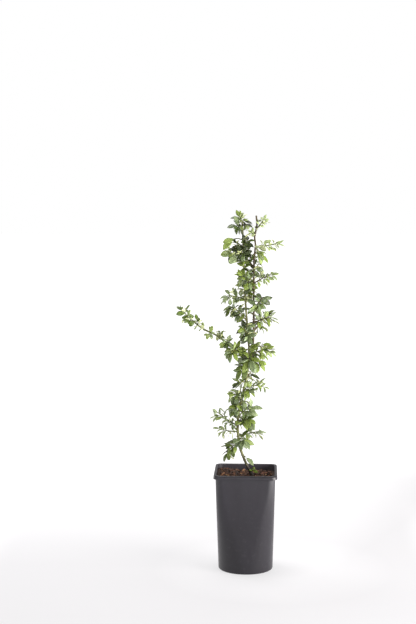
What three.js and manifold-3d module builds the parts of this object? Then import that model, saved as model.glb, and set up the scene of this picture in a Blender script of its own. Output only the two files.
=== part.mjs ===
// A young firethorn (Pyracantha) grown as a narrow column in a square-topped nursery pot.
// Millimetres, +Z up. The origin is the centre of the pot's flat underside, +X is the side of the
// right-hand leader and -Y is the front of the plant. Azimuths turn from +X towards +Y (the back).

import * as THREE from 'three';
import { mergeVertices } from 'three/addons/utils/BufferGeometryUtils.js';
import Module from 'manifold-3d';

const wasm = await Module();
wasm.setup();

// ---------------------------------------------------------------- driving dimensions

const CLEARANCE = 0.3;

const POT = {
  height: 215,
  baseHalfWidth: 58.9,        // round foot
  rimHalfWidth: 64.0,         // square body just under the lip
  cornerRadius: 15,
  wall: 1.4,
  floor: 2.2,
  footChamfer: 2.5,
  lipHeight: 8,
  lipHalfWidth: 68.3,
  lipThickness: 1.0,
  lipCornerRadius: 13,
  drainHoles: 8,
  drainHoleRadius: 4,
  drainHoleCircle: 42,
};
const CORNER_STEPS = 5;       // straight pieces in each rounded corner of the pot

const SOIL = { top: 202, unevenness: 2.2, levelRadius: 22, heapHeight: 5, heapFrom: 12 };
const WALL_HEIGHTS = [50, 100, 150, SOIL.top];  // where the wall and the compost change slope together

// Each limb: the points its middle runs through, and its radius at the foot and at the tip.
const LIMBS = {
  main_stem: {
    points: [
      [14, 6, SOIL.top + CLEARANCE], [1, 5, 227], [-13, 1, 266], [-17.5, -3, 305], [-15.5, -2, 340],
      [-7, 1, 380], [3, 4, 428], [6, 3, 480], [1, 0, 545], [-4, -2, 620], [-6, 1, 690], [-9, 0, 752],
    ],
    footRadius: 2.6, tipRadius: 1.1, sides: 8, flareRadius: 4.8, flareHeight: 34,
  },
  right_leader: {
    points: [
      [3, 4, 428], [12, 1, 452], [16, -5, 510], [16, -7, 590], [16.5, -5, 664], [19.5, -4, 700],
      [17.8, -4, 719], [22.3, -3, 742], [21, -2, 764],
    ],
    footRadius: 1.9, tipRadius: 1.0, sides: 7, leaves: 'main_stem',
  },
  long_left_bough: {
    points: [[4.5, 3.5, 452], [-14, 0, 470], [-34, -3, 484], [-60, -5, 506], [-92, -4, 521]],
    footRadius: 1.8, tipRadius: 1.2, sides: 7, leaves: 'main_stem',
  },
};
const LIMB_STEP = 17;         // length of one straight piece of a limb

// Leaves are elliptic to obovate: their sizes are shares of the leaf's own length.
const LEAF = {
  width: 0.46, widthSpread: 0.12, widestAt: 0.52, tipAt: 0.97, tipWidth: 0.45, tipDrop: 0.06,
  keelAt: 0.45, thickness: 0.04, sunk: 0.35,
};
const GOLDEN_ANGLE = 137.5;
const TWIG = { footRadius: 0.85, radiusPerLength: 0.009, tipRadius: 0.65, step: 15, zigzag: 14 };
const FIRST_LEAF_AT = 0.20;   // share of a twig's length that stays bare
const PITCH = { base: 75, tip: 48, spread: 30, terminal: 8 };
const TILT = { spread: 90, terminal: 24 };
const FACING = { outward: 0.5, light: 0.6, lightAzimuth: 270 };  // beside 1 of facing up
const SECOND_CHOICES = [0, 45, -45, 90];  // turns round the twig that a leaf tries until it has room

// The kinds of growth: how far their leaves hang, and how green they are.
const GROWTH = {
  old: { droop: 0.45, colour: 0x42562a },
  mature: { droop: 0.25, colour: 0x5a7434 },
  young: { droop: 0.05, colour: 0x83a24a },
};

// Each mass of foliage: the limb and height it leaves at, its azimuth and rise, the length of its
// stem and how far that bends up (+) or down (-), its leaf nodes, leaves at each node, leaf length.
const MASSES = [
  // name, limb, height, azimuth, rise, length, bend, nodes, leavesPerNode, leafLength, growth
  ['foot_sprout', 'main_stem', 210, 300, 20, 8, 30, 1, 2, 14, 'young'],
  ['low_front_leaf', 'main_stem', 246, 325, -15, 5, -25, 1, 1, 29, 'mature'],
  ['low_left_spray', 'main_stem', 276, 203, -30, 31, -50, 6, 2, 22, 'old'],
  ['low_right_spur', 'main_stem', 282, 318, 15, 13, -40, 5, 2, 27, 'old'],
  ['low_right_spray', 'main_stem', 289, 20, 10, 44, 5, 5, 2, 19, 'mature'],
  ['left_spray_lower', 'main_stem', 299, 165, 0, 38, 10, 5, 2, 19, 'young'],
  ['left_spray', 'main_stem', 312, 190, 30, 50, 0, 6, 2, 17, 'mature'],
  ['low_back_spray', 'main_stem', 318, 60, 30, 22, 10, 5, 2, 22, 'mature'],
  ['mid_right_spur', 'main_stem', 318, 328, 30, 24, -40, 5, 2, 24, 'mature'],
  ['mid_right_spray', 'main_stem', 332, 350, 45, 28, -50, 6, 2, 26, 'mature'],
  ['mid_left_spur', 'main_stem', 352, 215, 10, 12, -60, 5, 2, 26, 'old'],
  ['mid_front_leaf', 'main_stem', 368, 290, 5, 10, -30, 2, 2, 24, 'mature'],
  ['mid_back_spray', 'main_stem', 360, 95, 30, 18, 10, 5, 2, 23, 'old'],
  ['upper_left_spray', 'main_stem', 384, 195, -10, 20, -40, 5, 2, 23, 'mature'],
  ['centre_right_spur', 'main_stem', 390, 325, 5, 12, -40, 5, 2, 25, 'mature'],
  ['centre_left_spur', 'main_stem', 406, 205, 5, 12, -40, 5, 2, 25, 'old'],
  ['centre_front_spur', 'main_stem', 410, 270, 10, 10, -50, 2, 2, 24, 'young'],
  ['right_spray', 'main_stem', 396, 22, 5, 40, -5, 4, 2, 19, 'mature'],
  ['centre_back_spray', 'main_stem', 414, 65, 30, 22, 0, 5, 2, 24, 'old'],
  ['waist_front_spray', 'main_stem', 458, 285, 10, 10, -70, 5, 2, 33, 'old'],
  ['waist_upper_spray', 'main_stem', 476, 250, 15, 13, -60, 5, 2, 27, 'old'],
  ['waist_left_spur', 'main_stem', 442, 225, 0, 18, -60, 5, 2, 27, 'old'],
  ['waist_left_spray', 'long_left_bough', 474, 245, 10, 24, -50, 6, 2, 22, 'old'],
  ['waist_right_spray', 'right_leader', 468, 350, 25, 24, -10, 5, 2, 22, 'mature'],
  ['waist_right_shoot', 'right_leader', 484, 10, 0, 38, -50, 4, 1, 24, 'young'],
  ['waist_front_right', 'right_leader', 456, 335, -10, 12, -40, 2, 3, 26, 'mature'],
  ['waist_back_spray', 'main_stem', 452, 100, 25, 24, -10, 6, 2, 23, 'old'],
  ['long_left_inner', 'long_left_bough', 490, 265, 30, 10, 10, 5, 2, 18, 'mature'],
  ['long_left_upper', 'long_left_bough', 503, 100, 50, 10, 0, 2, 3, 16, 'mature'],
  ['long_left_lower', 'long_left_bough', 514, 250, -20, 7, 0, 2, 2, 15, 'mature'],
  ['long_left_tip', 'long_left_bough', 'tip', 180, 37, 60, -5, 6, 2, 19, 'young'],
  ['left_peek', 'main_stem', 586, 190, 15, 36, -5, 6, 2, 20, 'mature'],
  ['right_peek_lower', 'right_leader', 536, 355, 20, 34, 0, 6, 2, 20, 'mature'],
  ['right_peek_upper', 'right_leader', 620, 350, 30, 38, -10, 4, 2, 20, 'mature'],
  ['left_twig', 'main_stem', 652, 188, 68, 38, -72, 3, 2, 30, 'mature'],
  ['clump_front', 'main_stem', 678, 250, 35, 15, 20, 4, 4, 21, 'old'],
  ['clump_left', 'main_stem', 692, 200, 40, 15, 10, 4, 4, 20, 'old'],
  ['clump_right', 'main_stem', 700, 320, 40, 12, 0, 6, 2, 20, 'old'],
  ['clump_back', 'main_stem', 688, 100, 35, 16, 0, 4, 4, 21, 'old'],
  ['big_leaf_left', 'main_stem', 712, 186, 15, 20, -40, 1, 2, 31, 'mature'],
  ['right_shoot', 'right_leader', 696, 355, 10, 46, -5, 5, 2, 17, 'young'],
  ['right_arching', 'right_leader', 684, 345, 0, 8, -60, 2, 2, 30, 'mature'],
  ['leader_side_shoot', 'right_leader', 734, 350, 52, 20, 15, 6, 2, 13, 'young'],
  ['leader_spurs', 'right_leader', 722, 200, 35, 7, 0, 5, 2, 13, 'young'],
  ['top_left_leaves', 'main_stem', 741, 200, 15, 10, -40, 3, 2, 23, 'mature'],
  ['top_right_leaves', 'main_stem', 742, 340, 20, 8, -20, 3, 2, 20, 'old'],
  ['top_rosette', 'main_stem', 'tip', 190, 60, 8, 0, 4, 3, 17, 'mature'],
];

// Where the two leaders run side by side, ascending sprays of one kind fill the column all round.
const COLUMN = {
  from: 494, to: 652, count: 8, limbs: ['main_stem', 'right_leader'], firstAzimuth: 255,
  rise: 48, length: 40, bend: -10, nodes: 10, leavesPerNode: 2, leafLength: 23, growth: 'old',
};
for (let i = 0; i < COLUMN.count; i++) {
  const height = COLUMN.from + (COLUMN.to - COLUMN.from) * i / (COLUMN.count - 1);
  const azimuth = (COLUMN.firstAzimuth + GOLDEN_ANGLE * i) % 360;
  MASSES.push([`column_spray_${i + 1}`, COLUMN.limbs[i % 2], height, azimuth, COLUMN.rise, COLUMN.length,
    COLUMN.bend, COLUMN.nodes, COLUMN.leavesPerNode, COLUMN.leafLength, COLUMN.growth]);
}

const COLOURS = { pot: 0x45424a, soil: 0x4a342a, bark: 0x7d7550, leader: 0x7a5b49, shoot: 0x93a04f };

// ---------------------------------------------------------------- small helpers

const UP = new THREE.Vector3(0, 0, 1);
const radians = THREE.MathUtils.degToRad;
const mix = THREE.MathUtils.lerp;

// Evenly spread numbers from 0 to 1 that are the same on every run.
function seededRandom(seed) {
  let state = (seed * 7919 + 12345) >>> 0;
  return () => {
    state = (Math.imul(state, 1664525) + 1013904223) >>> 0;
    return state / 2 ** 32;
  };
}

function heading(azimuth, rise) {
  const a = radians(azimuth);
  const r = radians(rise);
  return new THREE.Vector3(Math.cos(a) * Math.cos(r), Math.sin(a) * Math.cos(r), Math.sin(r));
}

// Two directions square to the given one.
function acrossOf(direction) {
  const side = new THREE.Vector3().crossVectors(direction, UP);
  if (side.lengthSq() < 1e-3) side.set(1, 0, 0);
  side.normalize();
  return [side, new THREE.Vector3().crossVectors(side, direction).normalize()];
}

// The part of a vector that is square to a unit direction, at length 1.
function squareTo(vector, direction) {
  return vector.addScaledVector(direction, -vector.dot(direction)).normalize();
}

function addMesh(name, geometry, colour, roughness) {
  const material = new THREE.MeshStandardMaterial({ color: colour, roughness, metalness: 0 });
  const mesh = new THREE.Mesh(geometry, material);
  mesh.name = name;
  plant.add(mesh);
}

// ---------------------------------------------------------------- solids and booleans

function toManifold(geometry) {
  const bare = geometry.clone();
  bare.deleteAttribute('normal');
  bare.deleteAttribute('uv');
  const merged = mergeVertices(bare, 1e-5);
  return new wasm.Manifold(new wasm.Mesh({
    numProp: 3,
    vertProperties: Float32Array.from(merged.attributes.position.array),
    triVerts: Uint32Array.from(merged.index.array),
  }));
}

function toGeometry(manifold) {
  const mesh = manifold.getMesh();
  const geometry = new THREE.BufferGeometry();
  geometry.setAttribute('position', new THREE.BufferAttribute(mesh.vertProperties, 3));
  geometry.setIndex(new THREE.BufferAttribute(mesh.triVerts, 1));
  geometry.computeVertexNormals();
  return geometry;
}

// Whether the solid is still one closed skin once its corners are rounded to a thousandth.
function staysClosed(solid) {
  const { vertProperties, triVerts } = solid.getMesh();
  const corner = (v) => [0, 1, 2].map((k) => Math.round(vertProperties[3 * v + k] * 1000)).join();
  const uses = new Map();
  for (let i = 0; i < triVerts.length; i += 3) {
    const corners = [0, 1, 2].map((k) => corner(triVerts[i + k]));
    if (new Set(corners).size < 3) continue;
    for (const k of [0, 1, 2]) {
      const edge = [corners[k], corners[(k + 1) % 3]].sort().join(' ');
      uses.set(edge, (uses.get(edge) ?? 0) + 1);
    }
  }
  return [...uses.values()].every((count) => count === 2);
}

function fromTriangles(points, triangles) {
  const geometry = new THREE.BufferGeometry();
  geometry.setAttribute('position', new THREE.Float32BufferAttribute(points.flatMap((p) => p.toArray()), 3));
  geometry.setIndex(triangles.flat());
  geometry.computeVertexNormals();
  return geometry;
}

// A closed skin over a stack of rings of equally many points, with a fan at each end.
function loft(rings) {
  const count = rings[0].length;
  const points = rings.flat();
  const triangles = [];
  for (let r = 0; r + 1 < rings.length; r++) {
    for (let i = 0; i < count; i++) {
      const a = r * count + i;
      const b = r * count + (i + 1) % count;
      triangles.push([a, b, b + count], [a, b + count, a + count]);
    }
  }
  for (const last of [false, true]) {
    const ring = last ? rings.at(-1) : rings[0];
    const first = last ? (rings.length - 1) * count : 0;
    const middle = points.length;
    points.push(ring.reduce((sum, p) => sum.add(p), new THREE.Vector3()).divideScalar(count));
    for (let i = 0; i < count; i++) {
      const edge = [first + i, first + (i + 1) % count];
      triangles.push(last ? [...edge, middle] : [edge[1], edge[0], middle]);
    }
  }
  return fromTriangles(points, triangles);
}

// ---------------------------------------------------------------- pot and soil

// A level ring: a square of the given half width with rounded corners.
function squareRing(halfWidth, cornerRadius, z) {
  const radius = Math.min(cornerRadius, halfWidth * 0.97);
  const middle = halfWidth - radius;
  const ring = [];
  for (let corner = 0; corner < 4; corner++) {
    const towards = heading(45 + 90 * corner, 0);
    for (let i = 0; i <= CORNER_STEPS; i++) {
      const out = heading(90 * (corner + i / CORNER_STEPS), 0);
      ring.push(new THREE.Vector3(
        Math.sign(towards.x) * middle + out.x * radius, Math.sign(towards.y) * middle + out.y * radius, z));
    }
  }
  return ring;
}

// The body's half width and corner radius at a height: round at the foot, square under the lip.
function bodyAt(z) {
  const share = z / POT.height;
  return [
    mix(POT.baseHalfWidth, POT.rimHalfWidth, share),
    mix(POT.baseHalfWidth, POT.cornerRadius, THREE.MathUtils.smoothstep(share, -0.1, 1.0)),
  ];
}

function bodyRing(z, inset) {
  const [halfWidth, cornerRadius] = bodyAt(z);
  return squareRing(halfWidth - inset, Math.max(cornerRadius - inset, 1), z);
}

function potGeometry() {
  const lipFoot = POT.height - POT.lipHeight;
  const lipRoot = POT.height - 3.5;
  const lip = (halfWidth, z) => squareRing(halfWidth, POT.lipCornerRadius, z);
  const outside = [
    squareRing(POT.baseHalfWidth - POT.footChamfer, POT.baseHalfWidth, 0),
    bodyRing(POT.footChamfer, 0),
    ...WALL_HEIGHTS.map((z) => bodyRing(z, 0)),
    bodyRing(lipRoot, 0),
    lip(POT.lipHalfWidth - 2.7, lipRoot),
    lip(POT.lipHalfWidth - POT.lipThickness, lipFoot),
    lip(POT.lipHalfWidth, lipFoot),
    lip(POT.lipHalfWidth - 0.7, POT.height - 2.5),
    lip(POT.lipHalfWidth - 2.1, POT.height),
  ];
  const insideHeights = [POT.height, ...WALL_HEIGHTS.toReversed(), POT.floor];
  const shell = toManifold(loft([...outside, ...insideHeights.map((z) => bodyRing(z, POT.wall))]));
  let holes = null;
  for (let i = 0; i < POT.drainHoles; i++) {
    const drill = new THREE.CylinderGeometry(POT.drainHoleRadius, POT.drainHoleRadius, 4 * POT.floor, 12);
    const place = heading(360 * (i + 0.5) / POT.drainHoles, 0).multiplyScalar(POT.drainHoleCircle);
    drill.rotateX(Math.PI / 2).translate(place.x, place.y, 0);
    holes = holes ? holes.add(toManifold(drill)) : toManifold(drill);
  }
  return toGeometry(shell.subtract(holes));
}

// How far the compost is heaped up towards the left of the pot.
function heapAt(x) {
  return SOIL.heapHeight * THREE.MathUtils.smoothstep(-x, SOIL.heapFrom, POT.rimHalfWidth - 12);
}

// The compost fills the pot. Its surface is level round the stem's foot and lumpy further out.
function soilGeometry() {
  const inset = POT.wall + CLEARANCE;
  const random = seededRandom(3);
  const foot = new THREE.Vector3(...LIMBS.main_stem.points[0]);
  const sides = [POT.floor + CLEARANCE, ...WALL_HEIGHTS.slice(0, -1)].map((z) => bodyRing(z, inset));
  const surface = [1, 0.82, 0.62, 0.42, 0.22].map((share) => bodyRing(SOIL.top, inset).map((p) => {
    const point = new THREE.Vector3(p.x * share, p.y * share, SOIL.top);
    const lump = (random() - 0.5) * 2 * SOIL.unevenness;
    if (Math.hypot(point.x - foot.x, point.y - foot.y) > SOIL.levelRadius && share < 1) point.z += lump;
    point.z += heapAt(point.x);
    return point;
  }));
  return loft([...sides, ...surface]);
}

// ---------------------------------------------------------------- limbs

// A tapering tube round a curve: a cylinder whose rings are set square to the curve.
function taperedTube(pointAt, tangentAt, radiusAt, sides, steps, levelFoot) {
  const tube = new THREE.CylinderGeometry(1, 1, 1, sides, steps);
  const position = tube.attributes.position;
  const at = new THREE.Vector3();
  for (let i = 0; i < position.count; i++) {
    at.fromBufferAttribute(position, i);
    const t = THREE.MathUtils.clamp(at.y + 0.5, 0, 1);
    const tangent = levelFoot && t === 0 ? UP : tangentAt(t);
    const side = squareTo(new THREE.Vector3(1, 0, 0), tangent);
    const front = new THREE.Vector3().crossVectors(side, tangent);
    const radius = radiusAt(t);
    const placed = pointAt(t).addScaledVector(side, at.x * radius).addScaledVector(front, at.z * radius);
    position.setXYZ(i, placed.x, placed.y, placed.z);
  }
  return tube;
}

class Limb {
  constructor(name, { points, footRadius, tipRadius, sides, flareRadius, flareHeight, leaves }) {
    this.curve = new THREE.CatmullRomCurve3(points.map((p) => new THREE.Vector3(...p)), false, 'catmullrom');
    Object.assign(this, { name, footRadius, tipRadius, sides, flareRadius, flareHeight });
    this.length = this.curve.getLength();
    this.start = leaves ? this.clearOf(limbs[leaves]) : 0;
    this.steps = Math.round(this.length * (1 - this.start) / LIMB_STEP);
  }

  // The share of the curve where this limb has come clear of the one it leaves.
  clearOf(parent) {
    let t = 0;
    while (parent.distanceTo(this.curve.getPoint(t)) < this.footRadius + CLEARANCE + 0.25) t += 0.001;
    return t;
  }

  // How far a point is outside the limb's surface.
  distanceTo(point) {
    let nearest = Infinity;
    for (let i = 0; i <= 400; i++) {
      nearest = Math.min(nearest, this.curve.getPoint(i / 400).distanceTo(point) - this.radiusAt(i / 400));
    }
    return nearest;
  }

  radiusAt(t) {
    const height = t * this.length;
    const flare = this.flareRadius && height < this.flareHeight ? 1 - height / this.flareHeight : 0;
    return mix(this.footRadius, this.tipRadius, t) + flare ** 2 * ((this.flareRadius ?? 0) - this.footRadius);
  }

  // The share of the curve at which the limb first reaches a height.
  shareAtHeight(z) {
    const samples = 400;
    for (let i = 1; i <= samples; i++) {
      const upper = this.curve.getPoint(i / samples).z;
      const lower = this.curve.getPoint((i - 1) / samples).z;
      if (upper >= z) return (i - 1 + (z - lower) / (upper - lower)) / samples;
    }
    return 1;
  }

  geometry() {
    const share = (t) => {
      if (!this.flareRadius) return mix(this.start, 1, t);
      const firstRings = [0, 0.3, 0.7, 1];               // closer rings through the root flare
      const k = t * this.steps;
      return k <= 3 ? this.flareHeight * firstRings[Math.round(k)] / this.length : mix(
        this.flareHeight / this.length, 1, (k - 3) / (this.steps - 3));
    };
    return taperedTube((t) => this.curve.getPoint(share(t)), (t) => this.curve.getTangent(share(t)),
      (t) => this.radiusAt(share(t)), this.sides, this.steps, Boolean(this.flareRadius));
  }

  // The limb as short straight blocks, for keeping leaves clear of it.
  blocks() {
    const pieces = Math.ceil(this.length / 8);
    return Array.from({ length: pieces }, (_, i) => {
      const from = mix(this.start, 1, i / pieces);
      const to = mix(this.start, 1, (i + 1) / pieces);
      return twigBlock(this.curve.getPoint(from), this.curve.getPoint(to),
        this.radiusAt(from) * 1.1, this.radiusAt(to) * 1.1, 4, this.name);
    });
  }
}

// ---------------------------------------------------------------- keeping pieces apart

// A convex piece: its corners, and the directions along which it may be told apart from another.
function block(corners, directions, owner) {
  const middle = corners.reduce((sum, p) => sum.add(p), new THREE.Vector3()).divideScalar(corners.length);
  const reach = Math.max(...corners.map((p) => p.distanceTo(middle)));
  return { corners, directions, owner, middle, reach };
}

function span(corners, direction) {
  const along = corners.map((p) => p.dot(direction));
  return [Math.min(...along), Math.max(...along)];
}

function apart(a, b) {
  if (a.middle.distanceTo(b.middle) > a.reach + b.reach + CLEARANCE) return true;
  const crossings = a.directions.slice(0, 3).flatMap((p) => b.directions.slice(0, 3).map(
    (q) => new THREE.Vector3().crossVectors(p, q)));
  for (const direction of [...a.directions, ...b.directions, ...crossings]) {
    if (direction.lengthSq() < 1e-4) continue;
    const unit = direction.clone().normalize();
    const [aLow, aHigh] = span(a.corners, unit);
    const [bLow, bHigh] = span(b.corners, unit);
    if (aLow > bHigh + CLEARANCE || bLow > aHigh + CLEARANCE) return true;
  }
  return false;
}

function twigBlock(from, to, fromRadius, toRadius, sides, owner) {
  const along = to.clone().sub(from).normalize();
  const [side, over] = acrossOf(along);
  const corners = [[from, fromRadius], [to, toRadius]].flatMap(([end, radius]) => (
    Array.from({ length: sides }, (_, i) => {
      const turn = 2 * Math.PI * (i + 0.5) / sides;
      const out = radius / Math.cos(Math.PI / sides);
      return end.clone().addScaledVector(side, Math.cos(turn) * out)
        .addScaledVector(over, Math.sin(turn) * out);
    })));
  return block(corners, [along, side, over], owner);
}

// Nothing grows into the compost or over the pot's rim.
function meetsPot(corners) {
  const low = Math.min(...corners.map((p) => p.z));
  const wide = Math.max(...corners.map((p) => Math.max(Math.abs(p.x), Math.abs(p.y))));
  return low < SOIL.top + SOIL.unevenness + 1 || (low < POT.height + 2 && wide > POT.rimHalfWidth - 5);
}

// ---------------------------------------------------------------- foliage

// A leaf of 8 faces: a blunt five-sided outline from the root, three faces above it and five
// round a keel point below it. Its tip is lowered a little.
function leafCorners(root, along, normal, length, width) {
  const across = new THREE.Vector3().crossVectors(normal, along);
  const at = (u, v, w) => root.clone().addScaledVector(along, u * length)
    .addScaledVector(across, v * width).addScaledVector(normal, w * length);
  return [
    at(0, 0, 0),
    at(LEAF.widestAt, -0.5, LEAF.thickness / 2),
    at(LEAF.tipAt, -LEAF.tipWidth / 2, -LEAF.tipDrop),
    at(LEAF.tipAt, LEAF.tipWidth / 2, -LEAF.tipDrop),
    at(LEAF.widestAt, 0.5, LEAF.thickness / 2),
    at(LEAF.keelAt, 0, -LEAF.thickness / 2),
  ];
}
const LEAF_FACES = [[0, 1, 4], [1, 2, 3], [1, 3, 4], [1, 0, 5], [2, 1, 5], [3, 2, 5], [4, 3, 5], [0, 4, 5]];

function leafBlock(corners, along, normal, owner) {
  const outline = corners.slice(0, 5);
  const edges = outline.map((corner, i) => (
    new THREE.Vector3().crossVectors(outline[(i + 1) % 5].clone().sub(corner), normal)));
  return block(corners, [along, new THREE.Vector3().crossVectors(normal, along), normal, ...edges], owner);
}

// The leaf without the third next to its root, which is all that its own mass has to clear.
function bladeBlock(corners, along, normal, owner) {
  const root = corners[0].clone().lerp(corners[5], 0.6);
  return leafBlock([root, ...corners.slice(1)], along, normal, owner);
}

// A mass starts as a three-sided stem that leaves its limb 0.3 mm clear and keeps clear of all else.
function growStem(row, index) {
  const [name, limbName, height, azimuth, rise, length, bend] = row;
  const random = seededRandom(index + 1);
  const limb = limbs[limbName];
  const atTip = height === 'tip';
  const share = atTip ? 1 : limb.shareAtHeight(height);
  const footRadius = TWIG.footRadius + TWIG.radiusPerLength * length;
  const out = heading(azimuth, rise);
  const slant = Math.abs(out.dot(limb.curve.getTangent(share)));
  const upright = Math.sqrt(1 - slant ** 2);
  const away = atTip ? CLEARANCE + footRadius * upright
    : (limb.radiusAt(share) + CLEARANCE + footRadius * slant) / upright;
  const path = [limb.curve.getPoint(share).addScaledVector(out, away)];
  const steps = Math.max(2, Math.round(length / TWIG.step));
  const radiusAt = (t) => mix(footRadius, TWIG.tipRadius, t);
  let turn = azimuth;
  let lift = rise;
  for (let i = 0; i < steps; i++) {
    const next = path[i].clone().addScaledVector(heading(turn, lift), length / steps);
    turn += (random() - 0.5) * TWIG.zigzag;
    lift += (random() - 0.5) * TWIG.zigzag + bend / steps;
    const piece = twigBlock(path[i], next, radiusAt(i / steps), radiusAt((i + 1) / steps), 3, name);
    const others = placed.filter((other) => other.owner !== name && (i > 0 || other.owner !== limbName));
    if (meetsPot(piece.corners) || others.some((other) => !apart(piece, other))) break;
    placed.push(piece);
    path.push(next);
  }
  if (path.length < 2) throw new Error(`${name} has no room for its stem`);
  const line = new THREE.CatmullRomCurve3(path, false, 'catmullrom');
  const reached = (path.length - 1) / steps;
  const stem = taperedTube((t) => line.getPoint(t), (t) => line.getTangent(t),
    (t) => radiusAt(t * reached), 3, path.length - 1, false);
  return { row, random, line, solid: toManifold(stem) };
}

// Then its leaves are fused on, node by node, and the last one carries on the stem's line. One that
// would touch another piece tries the other sides of the twig, and is left out if none has room.
function growLeaves({ row, random, line, solid }) {
  const [name, , , azimuth, , , , nodes, perNode, leafLength, growth] = row;
  const facing = UP.clone().addScaledVector(heading(azimuth, 0), FACING.outward)
    .addScaledVector(heading(FACING.lightAzimuth, 0), FACING.light);
  const firstRoll = random() * 360;
  const blades = [];
  for (let i = 0; i < nodes * perNode; i++) {
    const t = mix(FIRST_LEAF_AT, 1, nodes > 1 ? Math.floor(i / perNode) / (nodes - 1) : 1);
    const tangent = line.getTangent(t);
    const [side, over] = acrossOf(tangent);
    const usual = mix(PITCH.base, PITCH.tip, t) + (random() - 0.5) * PITCH.spread;
    const isTerminal = i === nodes * perNode - 1;
    const pitch = radians(isTerminal ? PITCH.terminal : usual);
    const length = leafLength * (0.8 + 0.35 * random());
    const width = length * (LEAF.width + LEAF.widthSpread * (random() - 0.5));
    const sag = GROWTH[growth].droop * (0.3 + 1.4 * random());
    const tilt = radians((random() - 0.5) * (isTerminal ? TILT.terminal : TILT.spread));
    for (const turn of SECOND_CHOICES) {
      const roll = radians(firstRoll + GOLDEN_ANGLE * i + turn);
      const along = tangent.clone().multiplyScalar(Math.cos(pitch))
        .addScaledVector(side, Math.cos(roll) * Math.sin(pitch))
        .addScaledVector(over, Math.sin(roll) * Math.sin(pitch)).addScaledVector(UP, -sag).normalize();
      const normal = squareTo(facing.clone(), along).applyAxisAngle(along, tilt);
      const root = line.getPoint(t).addScaledVector(along, -LEAF.sunk * TWIG.tipRadius);
      const corners = leafCorners(root, along, normal, length, width);
      const piece = leafBlock(corners, along, normal, name);
      const blade = bladeBlock(corners, along, normal, name);
      if (meetsPot(corners) || blades.some((other) => !apart(blade, other))) continue;
      if (placed.some((other) => other.owner !== name && !apart(piece, other))) continue;
      const grown = solid.add(toManifold(fromTriangles(corners, LEAF_FACES)));
      if (!staysClosed(grown)) continue;
      solid = grown;
      placed.push(piece);
      blades.push(blade);
      break;
    }
  }
  if (!blades.length) throw new Error(`${name} has no room for a leaf`);
  return toGeometry(solid);
}

// ---------------------------------------------------------------- the plant

const plant = new THREE.Group();
plant.name = 'firethorn_in_pot';
addMesh('pot', potGeometry(), COLOURS.pot, 0.45);
addMesh('soil', soilGeometry(), COLOURS.soil, 0.95);

const limbs = {};
const limbColours = { main_stem: COLOURS.bark, right_leader: COLOURS.leader, long_left_bough: COLOURS.shoot };
for (const [name, sizes] of Object.entries(LIMBS)) {
  limbs[name] = new Limb(name, sizes);
  addMesh(name, limbs[name].geometry(), limbColours[name], 0.7);
}
const placed = Object.values(limbs).flatMap((limb) => limb.blocks());
for (const mass of MASSES.map(growStem)) {
  addMesh(mass.row[0], growLeaves(mass), GROWTH[mass.row.at(-1)].colour, 0.5);
}

export default plant;
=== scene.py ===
# A young firethorn grown as a narrow column in a square-topped nursery pot.
# The frame's pot, compost, limbs and masses of foliage are each replaced by a finer piece that keeps
# to the same place. The plant grows again here by the seeded rule of its solids, on the same lines,
# and goes on from there to leaf stalks, curled blades, buds and finer side twigs.
# Sizes are in millimetres up to the point where a mesh is made, and Blender's objects in metres.

import math
import random

import bpy
import numpy as np
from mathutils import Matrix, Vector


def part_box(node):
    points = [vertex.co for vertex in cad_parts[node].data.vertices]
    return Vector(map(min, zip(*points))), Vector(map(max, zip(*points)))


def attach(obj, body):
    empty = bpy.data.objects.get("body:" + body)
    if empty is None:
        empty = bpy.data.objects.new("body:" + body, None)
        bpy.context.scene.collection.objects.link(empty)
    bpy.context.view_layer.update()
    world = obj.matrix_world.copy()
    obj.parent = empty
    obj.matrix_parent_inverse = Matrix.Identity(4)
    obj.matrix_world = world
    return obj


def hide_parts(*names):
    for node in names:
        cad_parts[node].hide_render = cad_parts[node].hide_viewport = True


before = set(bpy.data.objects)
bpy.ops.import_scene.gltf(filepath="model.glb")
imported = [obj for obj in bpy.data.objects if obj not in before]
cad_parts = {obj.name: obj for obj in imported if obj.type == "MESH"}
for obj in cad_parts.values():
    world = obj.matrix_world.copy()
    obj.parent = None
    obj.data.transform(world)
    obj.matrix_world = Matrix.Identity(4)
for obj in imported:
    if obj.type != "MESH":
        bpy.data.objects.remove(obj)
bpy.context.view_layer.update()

MM = 0.001

# ---------------------------------------------------------------- sizes shared with the solids

CLEARANCE = 0.3

POT_HEIGHT = 215
POT_FOOT_HALF_WIDTH = 58.9      # round foot
POT_RIM_HALF_WIDTH = 64.0       # square body just under the lip
POT_CORNER_RADIUS = 15
POT_WALL = 1.4
POT_FLOOR = 2.2
POT_FOOT_ROUNDING = 2.5
LIP_HEIGHT = 8
LIP_HALF_WIDTH = 68.3
LIP_THICKNESS = 1.0
LIP_CORNER_RADIUS = 13
DRAIN_HOLES = 8
DRAIN_HOLE_RADIUS = 4
DRAIN_HOLE_CIRCLE = 42

SOIL_TOP = 202
SOIL_UNEVENNESS = 2.2
SOIL_HEAP_HEIGHT = 5            # how far the compost is heaped up on the left
SOIL_HEAP_FROM = 12

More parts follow.
